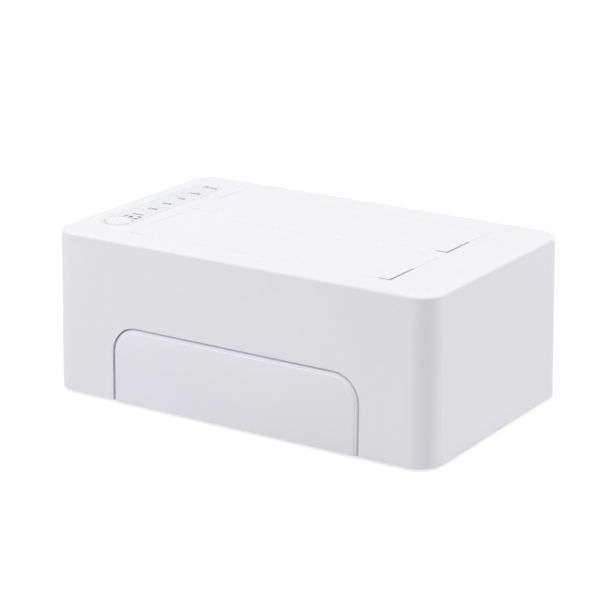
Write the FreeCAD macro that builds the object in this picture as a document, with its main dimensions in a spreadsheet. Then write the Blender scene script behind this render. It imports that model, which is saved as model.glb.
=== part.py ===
import FreeCAD, Part
import math
import os
import re

import Sketcher
from FreeCAD import Placement, Rotation, Vector

# Two-bay hard drive dock and duplicator, in millimetres.
# +X runs along the long side to the right, -Y is the front, +Z is up.
# The origin is the middle of the rectangle that the rubber feet stand on.

SIZES = (
    # the case
    ("left_margin", 6.7, "top face left of the control strip"),
    ("strip_to_bay", 5.8, "top face between the strip and the bays"),
    ("right_margin", 21.6, "top face right of the bays"),
    ("front_margin", 11.2, "top face in front of the bays"),
    ("bay_bridge", 6.3, "top face between the bays"),
    ("back_margin", 12.1, "top face behind the bays"),
    ("case_height", 59, "top face above the table"),
    ("foot_drop", 1, "how far the feet reach below the case"),
    ("draft_angle", 1, "degrees that each side leans inwards"),
    ("corner_radius", 9, "upright corners at the bottom edge"),
    ("top_round", 1.2, "round between sides and top"),
    ("wall", 2.2, "side walls of the case"),
    ("roof", 2.4, "top wall of the case"),
    ("base_thickness", 2.2, "bottom plate"),
    ("base_gap", 0.2, "between bottom plate and case walls"),
    # the drive bays
    ("end_room", 1.85, "between a drive and each end of its opening"),
    ("flap_room", 5.1, "room for the open flap behind a drive"),
    ("drive_length", 101.6, "width of a 3.5 inch drive"),
    ("drive_thickness", 26.1, "thickness of a 3.5 inch drive"),
    ("drive_clearance", 0.5, "around a drive in its cradle"),
    ("guide_wall", 1.2, "walls of a bay guide"),
    ("guide_margin", 1.6, "room beside a flap for its stops"),
    ("guide_floor", 1.5, "floor of a bay guide"),
    ("swing_room", 0.35, "hollow in the front wall for the swing of the flap"),
    ("swing_height", 8.5, "that hollow below the roof"),
    ("cradle_depth", 9, "how deep a drive sits in its cradle"),
    ("cradle_height", 13, "where a drive stands, above the table"),
    ("cradle_lead", 0.8, "chamfer that leads a drive in"),
    ("roof_gap", 0.1, "between the roof and what hangs below it"),
    ("lug_drop", 6.6, "mounting lugs of a guide below the roof"),
    ("lug_thickness", 2.2, "mounting lugs of a guide"),
    ("lug_width", 7, "mounting lugs of a guide along Y"),
    ("lug_end", 3.4, "mounting lugs beyond their screws"),
    ("lug_post_side", 6, "posts above the lugs"),
    ("lug_reach", 3.6, "lug screws outside the guide walls"),
    ("lug_inset", -0.8, "lug screws inside the outer edge of a bay"),
    # the flaps
    ("flap_gap", 0.3, "between a flap and its opening"),
    ("flap_sink", 0.05, "flap top below the case top"),
    ("flap_plate", 2, "plate of a flap"),
    ("flap_rim", 2, "rim below the plate"),
    ("flap_rim_wall", 1.2, "wall of the rim and the ribs"),
    ("flap_ribs", 6, "number of cross ribs"),
    ("flap_bevel", 0.1, "bevel along a flap's upper edges"),
    ("opening_bevel", 0.15, "bevel around the opening of a bay"),
    ("pivot_drop", 4.6, "hinge axis below the case top"),
    ("pivot_setback", 0.4, "hinge axis behind the back edge of the opening"),
    ("hinge_room", 2.6, "room for the knuckles behind the opening"),
    ("knuckle_diameter", 3.8, "hinge knuckles"),
    ("knuckle_length", 12, "hinge knuckles"),
    ("pin_diameter", 1.8, "hinge pins"),
    ("pin_clearance", 0.03, "radial clearance around a hinge pin"),
    ("pin_overhang", 0.5, "hinge pin outside the guide"),
    ("relief_depth", 0.5, "notch at a free corner of a flap"),
    ("relief_length", 15.5, "notch along the end of a flap"),
    ("relief_return", 4.5, "notch along the free edge of a flap"),
    ("stop_reach", 1.2, "stop tab beyond the end of a flap"),
    ("stop_thickness", 1.2, "stop tab"),
    ("stop_length", 8, "stop tab along Y"),
    ("stop_gap", 0.3, "between a stop tab and the roof"),
    # the flap springs
    ("spring_wire", 0.6, "wire of a flap spring"),
    ("spring_turns", 5, "turns of a flap spring"),
    ("spring_bore", 2.0, "inside of the coil"),
    ("spring_leg", 6, "leg on the guide's back wall"),
    ("spring_place", 21, "spring from the middle of the bay"),
    # the control strip and its button
    ("strip_lead", 15.1, "top face in front of the control strip"),
    ("strip_tail", 12.3, "top face behind the control strip"),
    ("strip_width", 12.6, "control strip along X"),
    ("strip_round", 5.4, "corner radius of the strip"),
    ("strip_thickness", 1.2, "strip"),
    ("strip_gap", 0.15, "around the strip in its recess"),
    ("button_diameter", 9.6, "start button"),
    ("button_gap", 0.35, "around the start button"),
    ("button_rise", 0.3, "start button above the strip"),
    ("button_inset", 5.9, "start button from the front end of the strip"),
    ("button_edge", 0.3, "bevel of the start button"),
    ("button_flange", 1.4, "flange beyond the button"),
    ("button_travel", 0.8, "stroke of the start button"),
    ("light_pitch", 8.6, "from one progress light to the next"),
    ("light_lead", 19.4, "first progress light behind the start button"),
    ("light_shift", 3.4, "row of lights left of the middle of the strip"),
    ("power_light_inset", 3.8, "power light from the rear end of the strip"),
    ("light_side", 2.6, "lights"),
    ("light_gap", 0.1, "around a light in the roof"),
    # the control board
    ("control_board_drop", 5.5, "top of the control board below the roof"),
    ("board_thickness", 1.6, "both boards"),
    ("control_board_inset", 1.5, "ends of the control board inside the strip's ends"),
    ("control_post_shift", 2.6, "posts right of the middle of the strip"),
    ("control_post_lead", 13, "front post behind the start button"),
    ("control_post_back", 4.7, "back post in front of the power light"),
    ("control_post_side", 4.6, "posts of the control board"),
    ("control_peg_side", 2.2, "staked pegs below the posts"),
    ("control_peg_reach", 0.8, "staked pegs below the control board"),
    ("control_peg_gap", 0.1, "around a peg in the control board"),
    # the main board and what stands on it
    ("board_height", 6, "bottom of the main board above the table"),
    ("board_side_gap", 1, "between the main board and the case posts"),
    ("board_front_gap", 3.8, "between the main board and the front wall"),
    ("board_back_gap", 0.6, "between the main board and the rear wall"),
    ("board_hole_inset", 5, "board screws from the board's edges"),
    ("standoff_side", 6, "standoffs of the main board"),
    ("socket_offset", -15, "drive sockets from the middle of the bay"),
    ("socket_inset", 7.2, "drive sockets from the front edge of the bay"),
    ("socket_length", 42, "drive sockets"),
    ("socket_width", 6.4, "drive sockets"),
    ("socket_rise", 5.5, "drive sockets above the cradle floor"),
    ("socket_foot", 1.1, "foot of a drive socket beyond its body"),
    ("socket_window", 0.6, "around a socket in the cradle floor"),
    ("socket_slot", 2.2, "slots for the tongues of a drive"),
    ("socket_slot_depth", 5.4, "slots for the tongues of a drive"),
    ("signal_slot_length", 11.4, "slot of the signal tongue"),
    ("power_slot_length", 21.6, "slot of the power tongue"),
    # the rear sockets
    ("io_right_gap", 14, "rear recess from the right end of the case"),
    ("io_sink", 1.8, "depth of the rear recess at the bottom edge"),
    ("io_below_board", 1.7, "rear recess below the top of the main board"),
    ("io_length", 74, "rear recess"),
    ("io_height", 17, "rear recess"),
    ("io_corner", 2, "corner radius of the rear recess"),
    ("port_gap", 0.2, "around a port in the rear wall"),
    ("port_depth", 13, "ports behind the floor of the recess"),
    ("usb_shift", 22, "data port left of the middle of the recess"),
    ("jack_shift", 2, "power jack left of the middle of the recess"),
    ("switch_shift", 21, "power switch right of the middle of the recess"),
    ("switch_lift", 1.9, "body of the power switch above the main board"),
    ("usb_width", 12, "data port"),
    ("usb_height", 11.4, "data port"),
    ("usb_wall", 0.8, "metal shell of the data port"),
    ("usb_depth", 9, "mouth of the data port"),
    ("usb_shoulder", 3.2, "upper, narrower part of the mouth"),
    ("jack_width", 9, "power jack"),
    ("jack_height", 11, "power jack"),
    ("jack_collar", 8, "power jack's round collar"),
    ("jack_bore", 5.7, "mouth of the power jack"),
    ("jack_depth", 9, "mouth of the power jack"),
    ("jack_pin", 2.1, "centre pin of the power jack"),
    ("switch_width", 13.2, "body of the power switch"),
    ("switch_height", 8.6, "body of the power switch"),
    ("switch_depth", 11, "body of the power switch behind the wall"),
    ("switch_rim", 1.4, "rim beyond the switch body"),
    ("switch_rim_thickness", 1.1, "rim on the rear wall"),
    ("leg_width", 1, "solder legs of the power switch"),
    ("leg_thickness", 0.6, "solder legs of the power switch"),
    ("rocker_width", 9.6, "rocker along X"),
    ("rocker_height", 5.8, "rocker along Z"),
    ("rocker_gap", 0.35, "around the rocker"),
    ("rocker_depth", 3, "rocker axis behind the recess floor"),
    ("rocker_peak", 1, "rocker ends above the recess floor when level"),
    ("rocker_dish", 1.3, "hollow between the rocker ends"),
    ("rocker_tilt", 7, "degrees from level to one end"),
    ("rocker_stub", 1.6, "stub shafts of the rocker"),
    ("rocker_stub_length", 0.7, "stub shafts of the rocker"),
    # the front panel
    ("panel_width", 100, "front panel"),
    ("panel_height", 27.5, "front panel above the bottom edge"),
    ("panel_corner", 10, "upper corners of the front panel"),
    ("panel_gap", 0.25, "around the front panel"),
    ("panel_bevel", 0.8, "bevelled edge of the front panel"),
    ("panel_flange", 2, "flange behind the wall beyond the panel"),
    ("panel_flange_thickness", 1.2, "flange behind the wall"),
    # feet, posts and screws
    ("foot_diameter", 12, "rubber feet"),
    ("foot_inset", 19, "feet from the outer faces"),
    ("foot_recess", 0.8, "recess for a foot"),
    ("foot_gap", 0.1, "around a foot in its recess"),
    ("post_inset", 9, "case posts from the outer faces"),
    ("post_side", 7, "case posts"),
    ("vent_length", 26, "vents in the base along Y"),
    ("vent_width", 2.4, "vents in the base"),
    ("vent_pitch", 7, "vents in the base"),
    ("vent_count", 13, "vents in the base"),
    ("case_screw", 3, "case screws"),
    ("case_screw_length", 12, "case screws"),
    ("case_screw_head", 5.4, "case screws"),
    ("case_head_height", 1.2, "heads of the case screws"),
    ("small_screw", 2.5, "board and guide screws"),
    ("small_screw_length", 5, "board and guide screws"),
    ("small_screw_head", 4.4, "board and guide screws"),
    ("small_head_height", 1.2, "heads of the board and guide screws"),
    ("screw_slot", 0.8, "cross in a screw head"),
    ("hole_clearance", 0.05, "radial clearance of a screw in its thread"),
    ("through_clearance", 0.2, "radial clearance of a screw that passes through"),
    # what is soldered to the boards
    ("chip_shift", 18.5, "chips right of the middle of the bays"),
    ("chip_side", 12, "controller chip"),
    ("chip_height", 1.4, "controller chip"),
    ("bridge_side", 8, "bridge chips"),
    ("bridge_height", 1.1, "bridge chips"),
    ("coil_side", 6, "power inductors"),
    ("coil_height", 3, "power inductors"),
    ("can_diameter", 5, "electrolytic capacitors"),
    ("can_height", 8, "electrolytic capacitors"),
    ("solder_gap", 0.05, "between a part and its board"),
    ("cable_shift", 4, "flat cable behind the middle of the strip"),
    ("cable_width", 9, "flat cable between the boards"),
    ("cable_thickness", 0.5, "flat cable between the boards"),
    ("header_width", 3.4, "cable headers"),
    ("header_length", 12, "cable headers"),
    ("header_height", 3, "cable headers"),
    ("header_slot", 0.1, "between the cable and a header"),
)

PLACES = {
    # the case, worked out from its top face
    "bay_length": "drive_length + 2 * end_room",
    "bay_width": "drive_thickness + flap_room",
    "lean": "(case_height - foot_drop) * tan(draft_angle * 1 deg)",
    "case_length": "left_margin + strip_width + strip_to_bay + bay_length + right_margin + 2 * lean",
    "case_width": "front_margin + 2 * bay_width + bay_bridge + back_margin + 2 * lean",
    "strip_x": "lean - case_length / 2 + left_margin + strip_width / 2",
    "strip_y": "(strip_lead - strip_tail) / 2",
    "strip_length": "case_width - 2 * lean - strip_lead - strip_tail",
    "bay_middle_x": "strip_x + strip_width / 2 + strip_to_bay + bay_length / 2",
    "bay_middle_y": "(front_margin - back_margin) / 2",
    "bay_pitch": "bay_width + bay_bridge",
    # heights
    "roof_under": "case_height - roof",
    "base_top": "foot_drop + base_thickness",
    "board_top": "board_height + board_thickness",
    "lug_top": "roof_under - lug_drop",
    "control_top": "roof_under - control_board_drop",
    "control_under": "control_top - board_thickness",
    "cradle_top": "cradle_height + cradle_depth",
    "pivot_z": "case_height - pivot_drop",
    "flap_top": "case_height - flap_sink",
    "flap_under": "flap_top - flap_plate",
    "rim_under": "flap_under - flap_rim",
    "socket_top": "cradle_height + socket_rise",
    # along the bays
    "guide_inner": "bay_length + 2 * guide_margin",
    "guide_length": "guide_inner + 2 * guide_wall",
    "flap_length": "bay_length - 2 * flap_gap",
    "rib_run": "flap_length * (flap_ribs - 1) / (flap_ribs + 1)",
    "knuckle_run": "flap_length - knuckle_length",
    "cradle_length": "drive_length + 2 * drive_clearance",
    "cradle_width": "drive_thickness + 2 * drive_clearance",
    "lug_spread": "guide_length / 2 + lug_reach",
    "pin_hole": "pin_diameter + 2 * pin_clearance",
    "socket_x": "bay_middle_x + socket_offset",
    # the control strip
    "button_y": "strip_y - strip_length / 2 + button_inset",
    "light_x": "strip_x - light_shift",
    "light_first_y": "button_y + light_lead",
    "power_light_y": "strip_y + strip_length / 2 - power_light_inset",
    "control_board_length": "strip_length - 2 * control_board_inset",
    "control_board_y": "strip_y - control_board_inset",
    "control_post_x": "strip_x + control_post_shift",
    "control_post_front_y": "button_y + control_post_lead",
    "control_post_back_y": "power_light_y - control_post_back",
    "cable_y": "strip_y + cable_shift",
    # the posts, the feet, the rear wall and the main board
    "post_x": "case_length / 2 - post_inset",
    "post_y": "case_width / 2 - post_inset",
    "foot_x": "case_length / 2 - foot_inset",
    "foot_y": "case_width / 2 - foot_inset",
    "io_floor": "case_width / 2 - io_sink",
    "io_inner": "io_floor - wall",
    "io_x": "case_length / 2 - io_right_gap - io_length / 2",
    "io_z": "board_top - io_below_board + io_height / 2",
    "port_inner": "io_floor - port_depth",
    "usb_x": "io_x - usb_shift",
    "jack_x": "io_x - jack_shift",
    "switch_x": "io_x + switch_shift",
    "switch_z": "board_top + switch_lift + switch_height / 2",
    "rocker_y": "io_floor - rocker_depth",
    "board_length": "2 * (post_x - post_side / 2 - board_side_gap)",
    "board_front": "board_front_gap + wall - case_width / 2",
    "board_back": "io_inner - board_back_gap",
    "board_hole_x": "board_length / 2 - board_hole_inset",
    "board_hole_front": "board_front + board_hole_inset",
    "board_hole_back": "board_back - board_hole_inset",
}

NAMES = {alias for alias, number, meaning in SIZES}

doc = FreeCAD.newDocument("DriveDuplicator")
sheet = doc.addObject("Spreadsheet::Sheet", "Sizes")
for row, (alias, number, meaning) in enumerate(SIZES, start=1):
    sheet.set(f"A{row}", meaning)
    sheet.set(f"B{row}", str(number))
    sheet.setAlias(f"B{row}", alias)
doc.recompute()


# ---------------------------------------------------------------- formulas

def formula(text):
    """Spell a formula out, so that it names only cells of the sheet."""
    def spell(match):
        word = match.group(0)
        if word in PLACES:
            return f"({formula(PLACES[word])})"
        if word in NAMES:
            return f"Sizes.{word}"
        return word
    return re.sub(r"[a-z][a-z_]*", spell, text)


def value(text):
    """Work a formula out as a number."""
    return float(sheet.evalExpression(formula(text)))


def bind(thing, **formulas):
    """Bind properties to formulas; a double underscore stands for a dot."""
    for name, text in formulas.items():
        thing.setExpression(name.replace("__", "."), formula(text))


def bay_places(side):
    """Return the formulas of one bay: -1 is the front bay and 1 the rear one."""
    middle = f"(bay_middle_y + {side} * bay_pitch / 2)"
    return {
        "middle": middle,
        "front": f"({middle} - bay_width / 2)",
        "back": f"({middle} + bay_width / 2)",
        "pivot": f"({middle} + bay_width / 2 + pivot_setback)",
        "lug": f"({middle} + {side} * (bay_width / 2 - lug_inset))",
    }


# ---------------------------------------------------------------- sketches and features

def new_body(label):
    body = doc.addObject("PartDesign::Body", label)
    body.Label = label
    return body


def new_sketch(body, name, role, shift):
    """Add a sketch on an origin plane, moved by three formulas in the plane's own axes."""
    sketch = body.newObject("Sketcher::SketchObject", name)
    plane = next(feature for feature in body.Origin.OriginFeatures if feature.Role == role)
    sketch.AttachmentSupport = [(plane, "")]
    sketch.MapMode = "FlatFace"
    for axis, text in zip("xyz", shift):
        sketch.setExpression(f"AttachmentOffset.Base.{axis}", formula(text))
    return sketch


def measure(sketch, kind, *arguments):
    """Add a measured constraint whose last argument is its formula."""
    *places, text = arguments
    index = sketch.addConstraint(Sketcher.Constraint(kind, *places, value(text)))
    sketch.setExpression(f"Constraints[{index}]", formula(text))


def closed_lines(sketch, points):
    """Draw a closed outline of straight lines and return the number of its first line."""
    first = sketch.GeometryCount
    count = len(points)
    for index in range(count):
        end = points[(index + 1) % count]
        sketch.addGeometry(Part.LineSegment(points[index], end), False)
    for index in range(count):
        after = first + (index + 1) % count
        sketch.addConstraint(Sketcher.Constraint("Coincident", first + index, 2, after, 1))
    return first


def rectangle(body, name, role, length, width, shift=("0", "0", "0")):
    """Sketch a rectangle centred on the shifted origin."""
    sketch = new_sketch(body, name, role, shift)
    x = value(length) / 2
    y = value(width) / 2
    corners = [Vector(-x, -y), Vector(x, -y), Vector(x, y), Vector(-x, y)]
    closed_lines(sketch, corners)
    for line, direction in enumerate(("Horizontal", "Vertical") * 2):
        if line != 0:
            sketch.addConstraint(Sketcher.Constraint(direction, line))
    sketch.addConstraint(Sketcher.Constraint("Symmetric", 0, 1, 1, 2, -1, 1))
    measure(sketch, "DistanceX", 0, 1, 0, 2, length)
    measure(sketch, "DistanceY", 1, 1, 1, 2, width)
    return sketch


def rounded_rectangle(body, name, role, length, width, radius, shift=("0", "0", "0")):
    """Sketch a rectangle with round corners, centred on the shifted origin."""
    sketch = new_sketch(body, name, role, shift)
    x = value(length) / 2
    y = value(width) / 2
    r = value(radius)
    corners = ((x - r, y - r, 0), (r - x, y - r, 90), (r - x, r - y, 180), (x - r, r - y, 270))
    ends = ((x - r, y, r - x, y), (-x, y - r, -x, r - y), (r - x, -y, x - r, -y), (x, r - y, x, y - r))
    for (centre_x, centre_y, start), (x1, y1, x2, y2) in zip(corners, ends):
        circle = Part.Circle(Vector(centre_x, centre_y, 0), Vector(0, 0, 1), r)
        turn = (math.radians(start), math.radians(start + 90))
        sketch.addGeometry(Part.ArcOfCircle(circle, *turn), False)
        sketch.addGeometry(Part.LineSegment(Vector(x1, y1), Vector(x2, y2)), False)
    for index in range(8):
        after = (index + 1) % 8
        sketch.addConstraint(Sketcher.Constraint("Tangent", index, 2, after, 1))
    for line, direction in ((1, "Horizontal"), (3, "Vertical")):
        sketch.addConstraint(Sketcher.Constraint(direction, line))
    for corner in (2, 4, 6):
        sketch.addConstraint(Sketcher.Constraint("Equal", 0, corner))
    sketch.addConstraint(Sketcher.Constraint("Symmetric", 0, 3, 4, 3, -1, 1))
    measure(sketch, "DistanceX", 3, 1, 7, 1, length)
    measure(sketch, "DistanceY", 5, 1, 1, 1, width)
    measure(sketch, "Radius", 0, radius)
    return sketch


def circles(body, name, role, diameter, centres, shift=("0", "0", "0")):
    """Sketch circles of one size, each centre given as two formulas."""
    sketch = new_sketch(body, name, role, shift)
    for index, (x, y) in enumerate(centres):
        centre = Vector(value(x), value(y), 0)
        circle = Part.Circle(centre, Vector(0, 0, 1), value(diameter) / 2)
        sketch.addGeometry(circle, False)
        measure(sketch, "DistanceX", -1, 1, index, 3, x)
        measure(sketch, "DistanceY", -1, 1, index, 3, y)
        measure(sketch, "Diameter", index, diameter)
    return sketch


def arch(body, name, width, height, radius, shift, lean="0"):
    """Sketch a leaning arch on the front plane: flat foot, upright sides, two round corners."""
    sketch = new_sketch(body, name, "XZ_Plane", shift)
    sketch.AttachmentOffset = Placement(Vector(0, 0, 0), Rotation(Vector(1, 0, 0), 0))
    for axis, text in zip("xyz", shift):
        sketch.setExpression(f"AttachmentOffset.Base.{axis}", formula(text))
    sketch.setExpression("AttachmentOffset.Rotation.Angle", formula(f"-({lean}) * 1 deg"))
    x = value(width) / 2
    y = value(height)
    r = value(radius)
    sketch.addGeometry(Part.LineSegment(Vector(-x, 0), Vector(x, 0)), False)
    sketch.addGeometry(Part.LineSegment(Vector(x, 0), Vector(x, y - r)), False)
    circle = Part.Circle(Vector(x - r, y - r, 0), Vector(0, 0, 1), r)
    sketch.addGeometry(Part.ArcOfCircle(circle, 0, math.pi / 2), False)
    sketch.addGeometry(Part.LineSegment(Vector(x - r, y), Vector(r - x, y)), False)
    circle = Part.Circle(Vector(r - x, y - r, 0), Vector(0, 0, 1), r)
    sketch.addGeometry(Part.ArcOfCircle(circle, math.pi / 2, math.pi), False)
    sketch.addGeometry(Part.LineSegment(Vector(-x, y - r), Vector(-x, 0)), False)
    for kind, before, after in (
        ("Coincident", 0, 1), ("Tangent", 1, 2), ("Tangent", 2, 3),
        ("Tangent", 3, 4), ("Tangent", 4, 5), ("Coincident", 5, 0),
    ):
        sketch.addConstraint(Sketcher.Constraint(kind, before, 2, after, 1))
    sketch.addConstraint(Sketcher.Constraint("Symmetric", 0, 1, 0, 2, -1, 1))
    sketch.addConstraint(Sketcher.Constraint("Vertical", 1))
    sketch.addConstraint(Sketcher.Constraint("Vertical", 5))
    sketch.addConstraint(Sketcher.Constraint("Equal", 2, 4))
    measure(sketch, "DistanceX", 0, 1, 0, 2, width)
    measure(sketch, "DistanceY", 0, 1, 3, 1, height)
    measure(sketch, "Radius", 2, radius)
    return sketch


def cut_rectangle(body, name, role, length, width, corner, shift):
    """Sketch a rectangle with its corners cut off, centred on the shifted origin."""
    sketch = new_sketch(body, name, role, shift)
    x = value(length) / 2
    y = value(width) / 2
    leg = value(corner)
    points = [Vector(leg - x, -y), Vector(x - leg, -y), Vector(x, leg - y), Vector(x, y - leg)]
    closed_lines(sketch, points + [Vector(-point.x, -point.y) for point in points])
    sketch.addConstraint(Sketcher.Constraint("Horizontal", 0))
    sketch.addConstraint(Sketcher.Constraint("Vertical", 2))
    for line in (0, 2):
        for end in (1, 2):
            sketch.addConstraint(Sketcher.Constraint("Symmetric", line, end, line + 4, end, -1, 1))
    measure(sketch, "DistanceX", 6, 1, 2, 2, length)
    measure(sketch, "DistanceY", 0, 1, 4, 2, width)
    for direction in ("DistanceX", "DistanceY"):
        measure(sketch, direction, 0, 2, 2, 1, corner)
    measure(sketch, "DistanceX", 6, 2, 0, 1, corner)
    measure(sketch, "DistanceY", 0, 1, 6, 2, corner)
    return sketch


def case_sides(inset, height):
    """Return the formulas of the case's length, width and corner radius at a height, drawn in."""
    lean = f"(({height}) - foot_drop) * tan(draft_angle * 1 deg)"
    length = f"case_length - 2 * ({inset}) - 2 * {lean}"
    width = f"case_width - 2 * ({inset}) - 2 * {lean}"
    return length, width, f"corner_radius - ({inset}) - {lean}"


def case_outline(body, name, inset, height):
    """Sketch the case's outline at a height, drawn in by an inset."""
    sides = case_sides(inset, height)
    return rounded_rectangle(body, name, "XY_Plane", *sides, ("0", "0", height))


def case_inside(body, name, height):
    """Sketch the inside of the case walls, its corners cut off just outside the base plate's."""
    length, width, radius = case_sides("wall", height)
    corner = f"({radius}) * (2 - sqrt(2))"
    return cut_rectangle(body, name, "XY_Plane", length, width, corner, ("0", "0", height))


def pad(body, name, sketch, length, backwards=False, tapered=False):
    """Raise a sketch along its normal, or backwards."""
    feature = body.newObject("PartDesign::Pad", name)
    feature.Profile = sketch
    feature.Reversed = backwards
    bind(feature, Length=length)
    if tapered:
        bind(feature, TaperAngle="-draft_angle * 1 deg")
    return feature


def pocket(body, name, sketch, depth, forwards=False, tapered=False):
    """Cut a sketch away against its normal, or forwards along it."""
    feature = body.newObject("PartDesign::Pocket", name)
    feature.Profile = sketch
    feature.Reversed = forwards
    bind(feature, Length=depth)
    if tapered:
        bind(feature, TaperAngle="-draft_angle * 1 deg")
    return feature


def edges_where(feature, test):
    """Name the edges of a feature whose every vertex passes a test."""
    doc.recompute()
    edges = enumerate(feature.Shape.Edges, start=1)
    return [f"Edge{number}" for number, edge in edges if all(test(v.Point) for v in edge.Vertexes)]


def fillet(body, name, feature, radius, test):
    """Round the edges of a feature that pass a test."""
    edge_names = edges_where(feature, test)
    rounding = body.newObject("PartDesign::Fillet", name)
    rounding.Base = (feature, edge_names)
    bind(rounding, Radius=radius)
    return rounding


def chamfer(body, name, feature, size, test):
    """Bevel the edges of a feature that pass a test."""
    edge_names = edges_where(feature, test)
    bevel = body.newObject("PartDesign::Chamfer", name)
    bevel.Base = (feature, edge_names)
    bind(bevel, Size=size)
    return bevel


def repeat(body, name, feature, direction, length, occurrences):
    """Repeat a feature evenly along a sketch axis."""
    pattern = body.newObject("PartDesign::LinearPattern", name)
    pattern.Originals = [feature]
    pattern.Direction = direction
    bind(pattern, Length=length, Occurrences=occurrences)
    body.Tip = pattern
    return pattern


def box(name, middle, bottom, size):
    """Add a Part box from the middle of its bottom face: (x, y), z and (length, width, height)."""
    solid = doc.addObject("Part::Box", name)
    length, width, height = size
    bind(
        solid,
        Length=length,
        Width=width,
        Height=height,
        Placement__Base__x=f"({middle[0]}) - ({length}) / 2",
        Placement__Base__y=f"({middle[1]}) - ({width}) / 2",
        Placement__Base__z=bottom,
    )
    return solid


def cylinder(name, middle, bottom, diameter, height):
    """Add an upright Part cylinder from the middle of its bottom face."""
    solid = doc.addObject("Part::Cylinder", name)
    bind(
        solid,
        Radius=f"({diameter}) / 2",
        Height=height,
        Placement__Base__x=middle[0],
        Placement__Base__y=middle[1],
        Placement__Base__z=bottom,
    )
    return solid


def prism(name, middle, bottom, diameter, height, sides):
    """Add an upright Part prism with a number of sides, inside a circle of the diameter."""
    solid = doc.addObject("Part::Prism", name)
    solid.Polygon = sides
    bind(
        solid,
        Circumradius=f"({diameter}) / 2",
        Height=height,
        Placement__Base__x=middle[0],
        Placement__Base__y=middle[1],
        Placement__Base__z=bottom,
    )
    return solid


def group(label, solids):
    """Gather separate solids of one kind under one name."""
    compound = doc.addObject("Part::Compound", label)
    compound.Links = solids
    compound.Label = label
    return compound


def cut(label, base, tool):
    """Cut one solid out of another."""
    result = doc.addObject("Part::Cut", label)
    result.Base = base
    result.Tool = tool
    result.Label = label
    return result


def square_pads(body, name, side, places, bottom, height):
    """Raise a square post at each place."""
    for index, (x, y) in enumerate(places):
        plan = rectangle(body, f"{name}Plan{index}", "XY_Plane", side, side, (x, y, bottom))
        pad(body, f"{name}{index}", plan, height)


def square_pockets(body, name, side, places, bottom, depth):
    """Cut a square hole upwards at each place."""
    for index, (x, y) in enumerate(places):
        plan = rectangle(body, f"{name}Plan{index}", "XY_Plane", side, side, (x, y, bottom))
        pocket(body, f"{name}{index}", plan, depth, forwards=True)


def four(x, y):
    """Return the four mirrored places of one corner."""
    return [(f"{side} * ({x})", f"{end} * ({y})") for end in (-1, 1) for side in (-1, 1)]


POST_PLACES = four("post_x", "post_y")
BOARD_HOLES = [
    (f"{side} * board_hole_x", depth)
    for depth in ("board_hole_front", "board_hole_back")
    for side in (-1, 1)
]
LUG_PLACES = [
    (f"bay_middle_x + {end} * lug_spread", bay_places(side)["lug"])
    for side in (-1, 1)
    for end in (-1, 1)
]
CONTROL_POSTS = [("control_post_x", f"control_post_{end}_y") for end in ("front", "back")]
LIGHTS = [("light_x", f"light_first_y + {step} * light_pitch") for step in range(4)]
LIGHTS.append(("light_x", "power_light_y"))


# ---------------------------------------------------------------- case

def make_top_cover():
    body = new_body("top_cover")
    block = pad(body, "Block", case_outline(body, "Outline", "0", "foot_drop"),
                "case_height - foot_drop", tapered=True)
    top = value("case_height")
    fillet(body, "TopRound", block, "top_round", lambda point: abs(point.z - top) < 0.01)
    pocket(body, "Hollow", case_inside(body, "Inside", "foot_drop"),
           "roof_under - foot_drop", forwards=True, tapered=True)
    add_cover_posts(body)
    add_rear_recess(body)
    cut_top_openings(body)
    front = arch(body, "FrontGate", "panel_width + 2 * panel_gap", "panel_height + panel_gap",
                 "panel_corner + panel_gap", ("0", "foot_drop", "case_width / 2"), "draft_angle")
    pocket(body, "FrontCutOut", front, "wall + 2")
    return body


def add_cover_posts(body):
    """Posts below the roof for the base, the bay guides and the control board."""
    square_pads(body, "Post", "post_side", POST_PLACES, "base_top", "roof_under - base_top + roof / 4")
    square_pads(body, "LugPost", "lug_post_side", LUG_PLACES, "lug_top", "lug_drop + roof / 4")
    square_pads(body, "ControlPost", "control_post_side", CONTROL_POSTS, "control_top",
                "control_board_drop + roof / 6")
    square_pads(body, "Peg", "control_peg_side", CONTROL_POSTS, "control_under - control_peg_reach",
                "board_thickness + control_peg_reach + roof / 6")
    square_pockets(body, "PostBore", "case_screw + 2 * hole_clearance", POST_PLACES, "base_top",
                   "case_screw_length")
    square_pockets(body, "LugBore", "small_screw + 2 * hole_clearance", LUG_PLACES, "lug_top",
                   "small_screw_length")


def add_rear_recess(body):
    """Thicken the rear wall inwards, sink the port recess and open the three ports."""
    backing = rounded_rectangle(body, "BackingPlan", "XZ_Plane", "io_length + 2 * wall",
                                "io_height + wall", "io_corner + wall / 2",
                                ("io_x", "io_z", "-io_inner"))
    pad(body, "Backing", backing, "wall + roof / 4", backwards=True)
    recess = rounded_rectangle(body, "RecessPlan", "XZ_Plane", "io_length", "io_height", "io_corner",
                               ("io_x", "io_z", "-io_floor"))
    pocket(body, "Recess", recess, "case_width / 2 - io_floor + 1")
    deep = "wall + 2"
    start = "-io_floor - 1"
    usb = rectangle(body, "DataPortPlan", "XZ_Plane", "usb_width + 2 * port_gap",
                    "usb_height + 2 * port_gap", ("usb_x", "board_top + usb_height / 2", start))
    pocket(body, "DataPort", usb, deep, forwards=True)
    jack = circles(body, "PowerPortPlan", "XZ_Plane", "jack_collar + 2 * port_gap",
                   [("jack_x", "board_top + jack_height / 2")], ("0", "0", start))
    pocket(body, "PowerPort", jack, deep, forwards=True)
    switch = rectangle(body, "SwitchPortPlan", "XZ_Plane", "switch_width + 2 * port_gap",
                       "switch_height + 2 * port_gap", ("switch_x", "switch_z", start))
    pocket(body, "SwitchPort", switch, deep, forwards=True)


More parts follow.
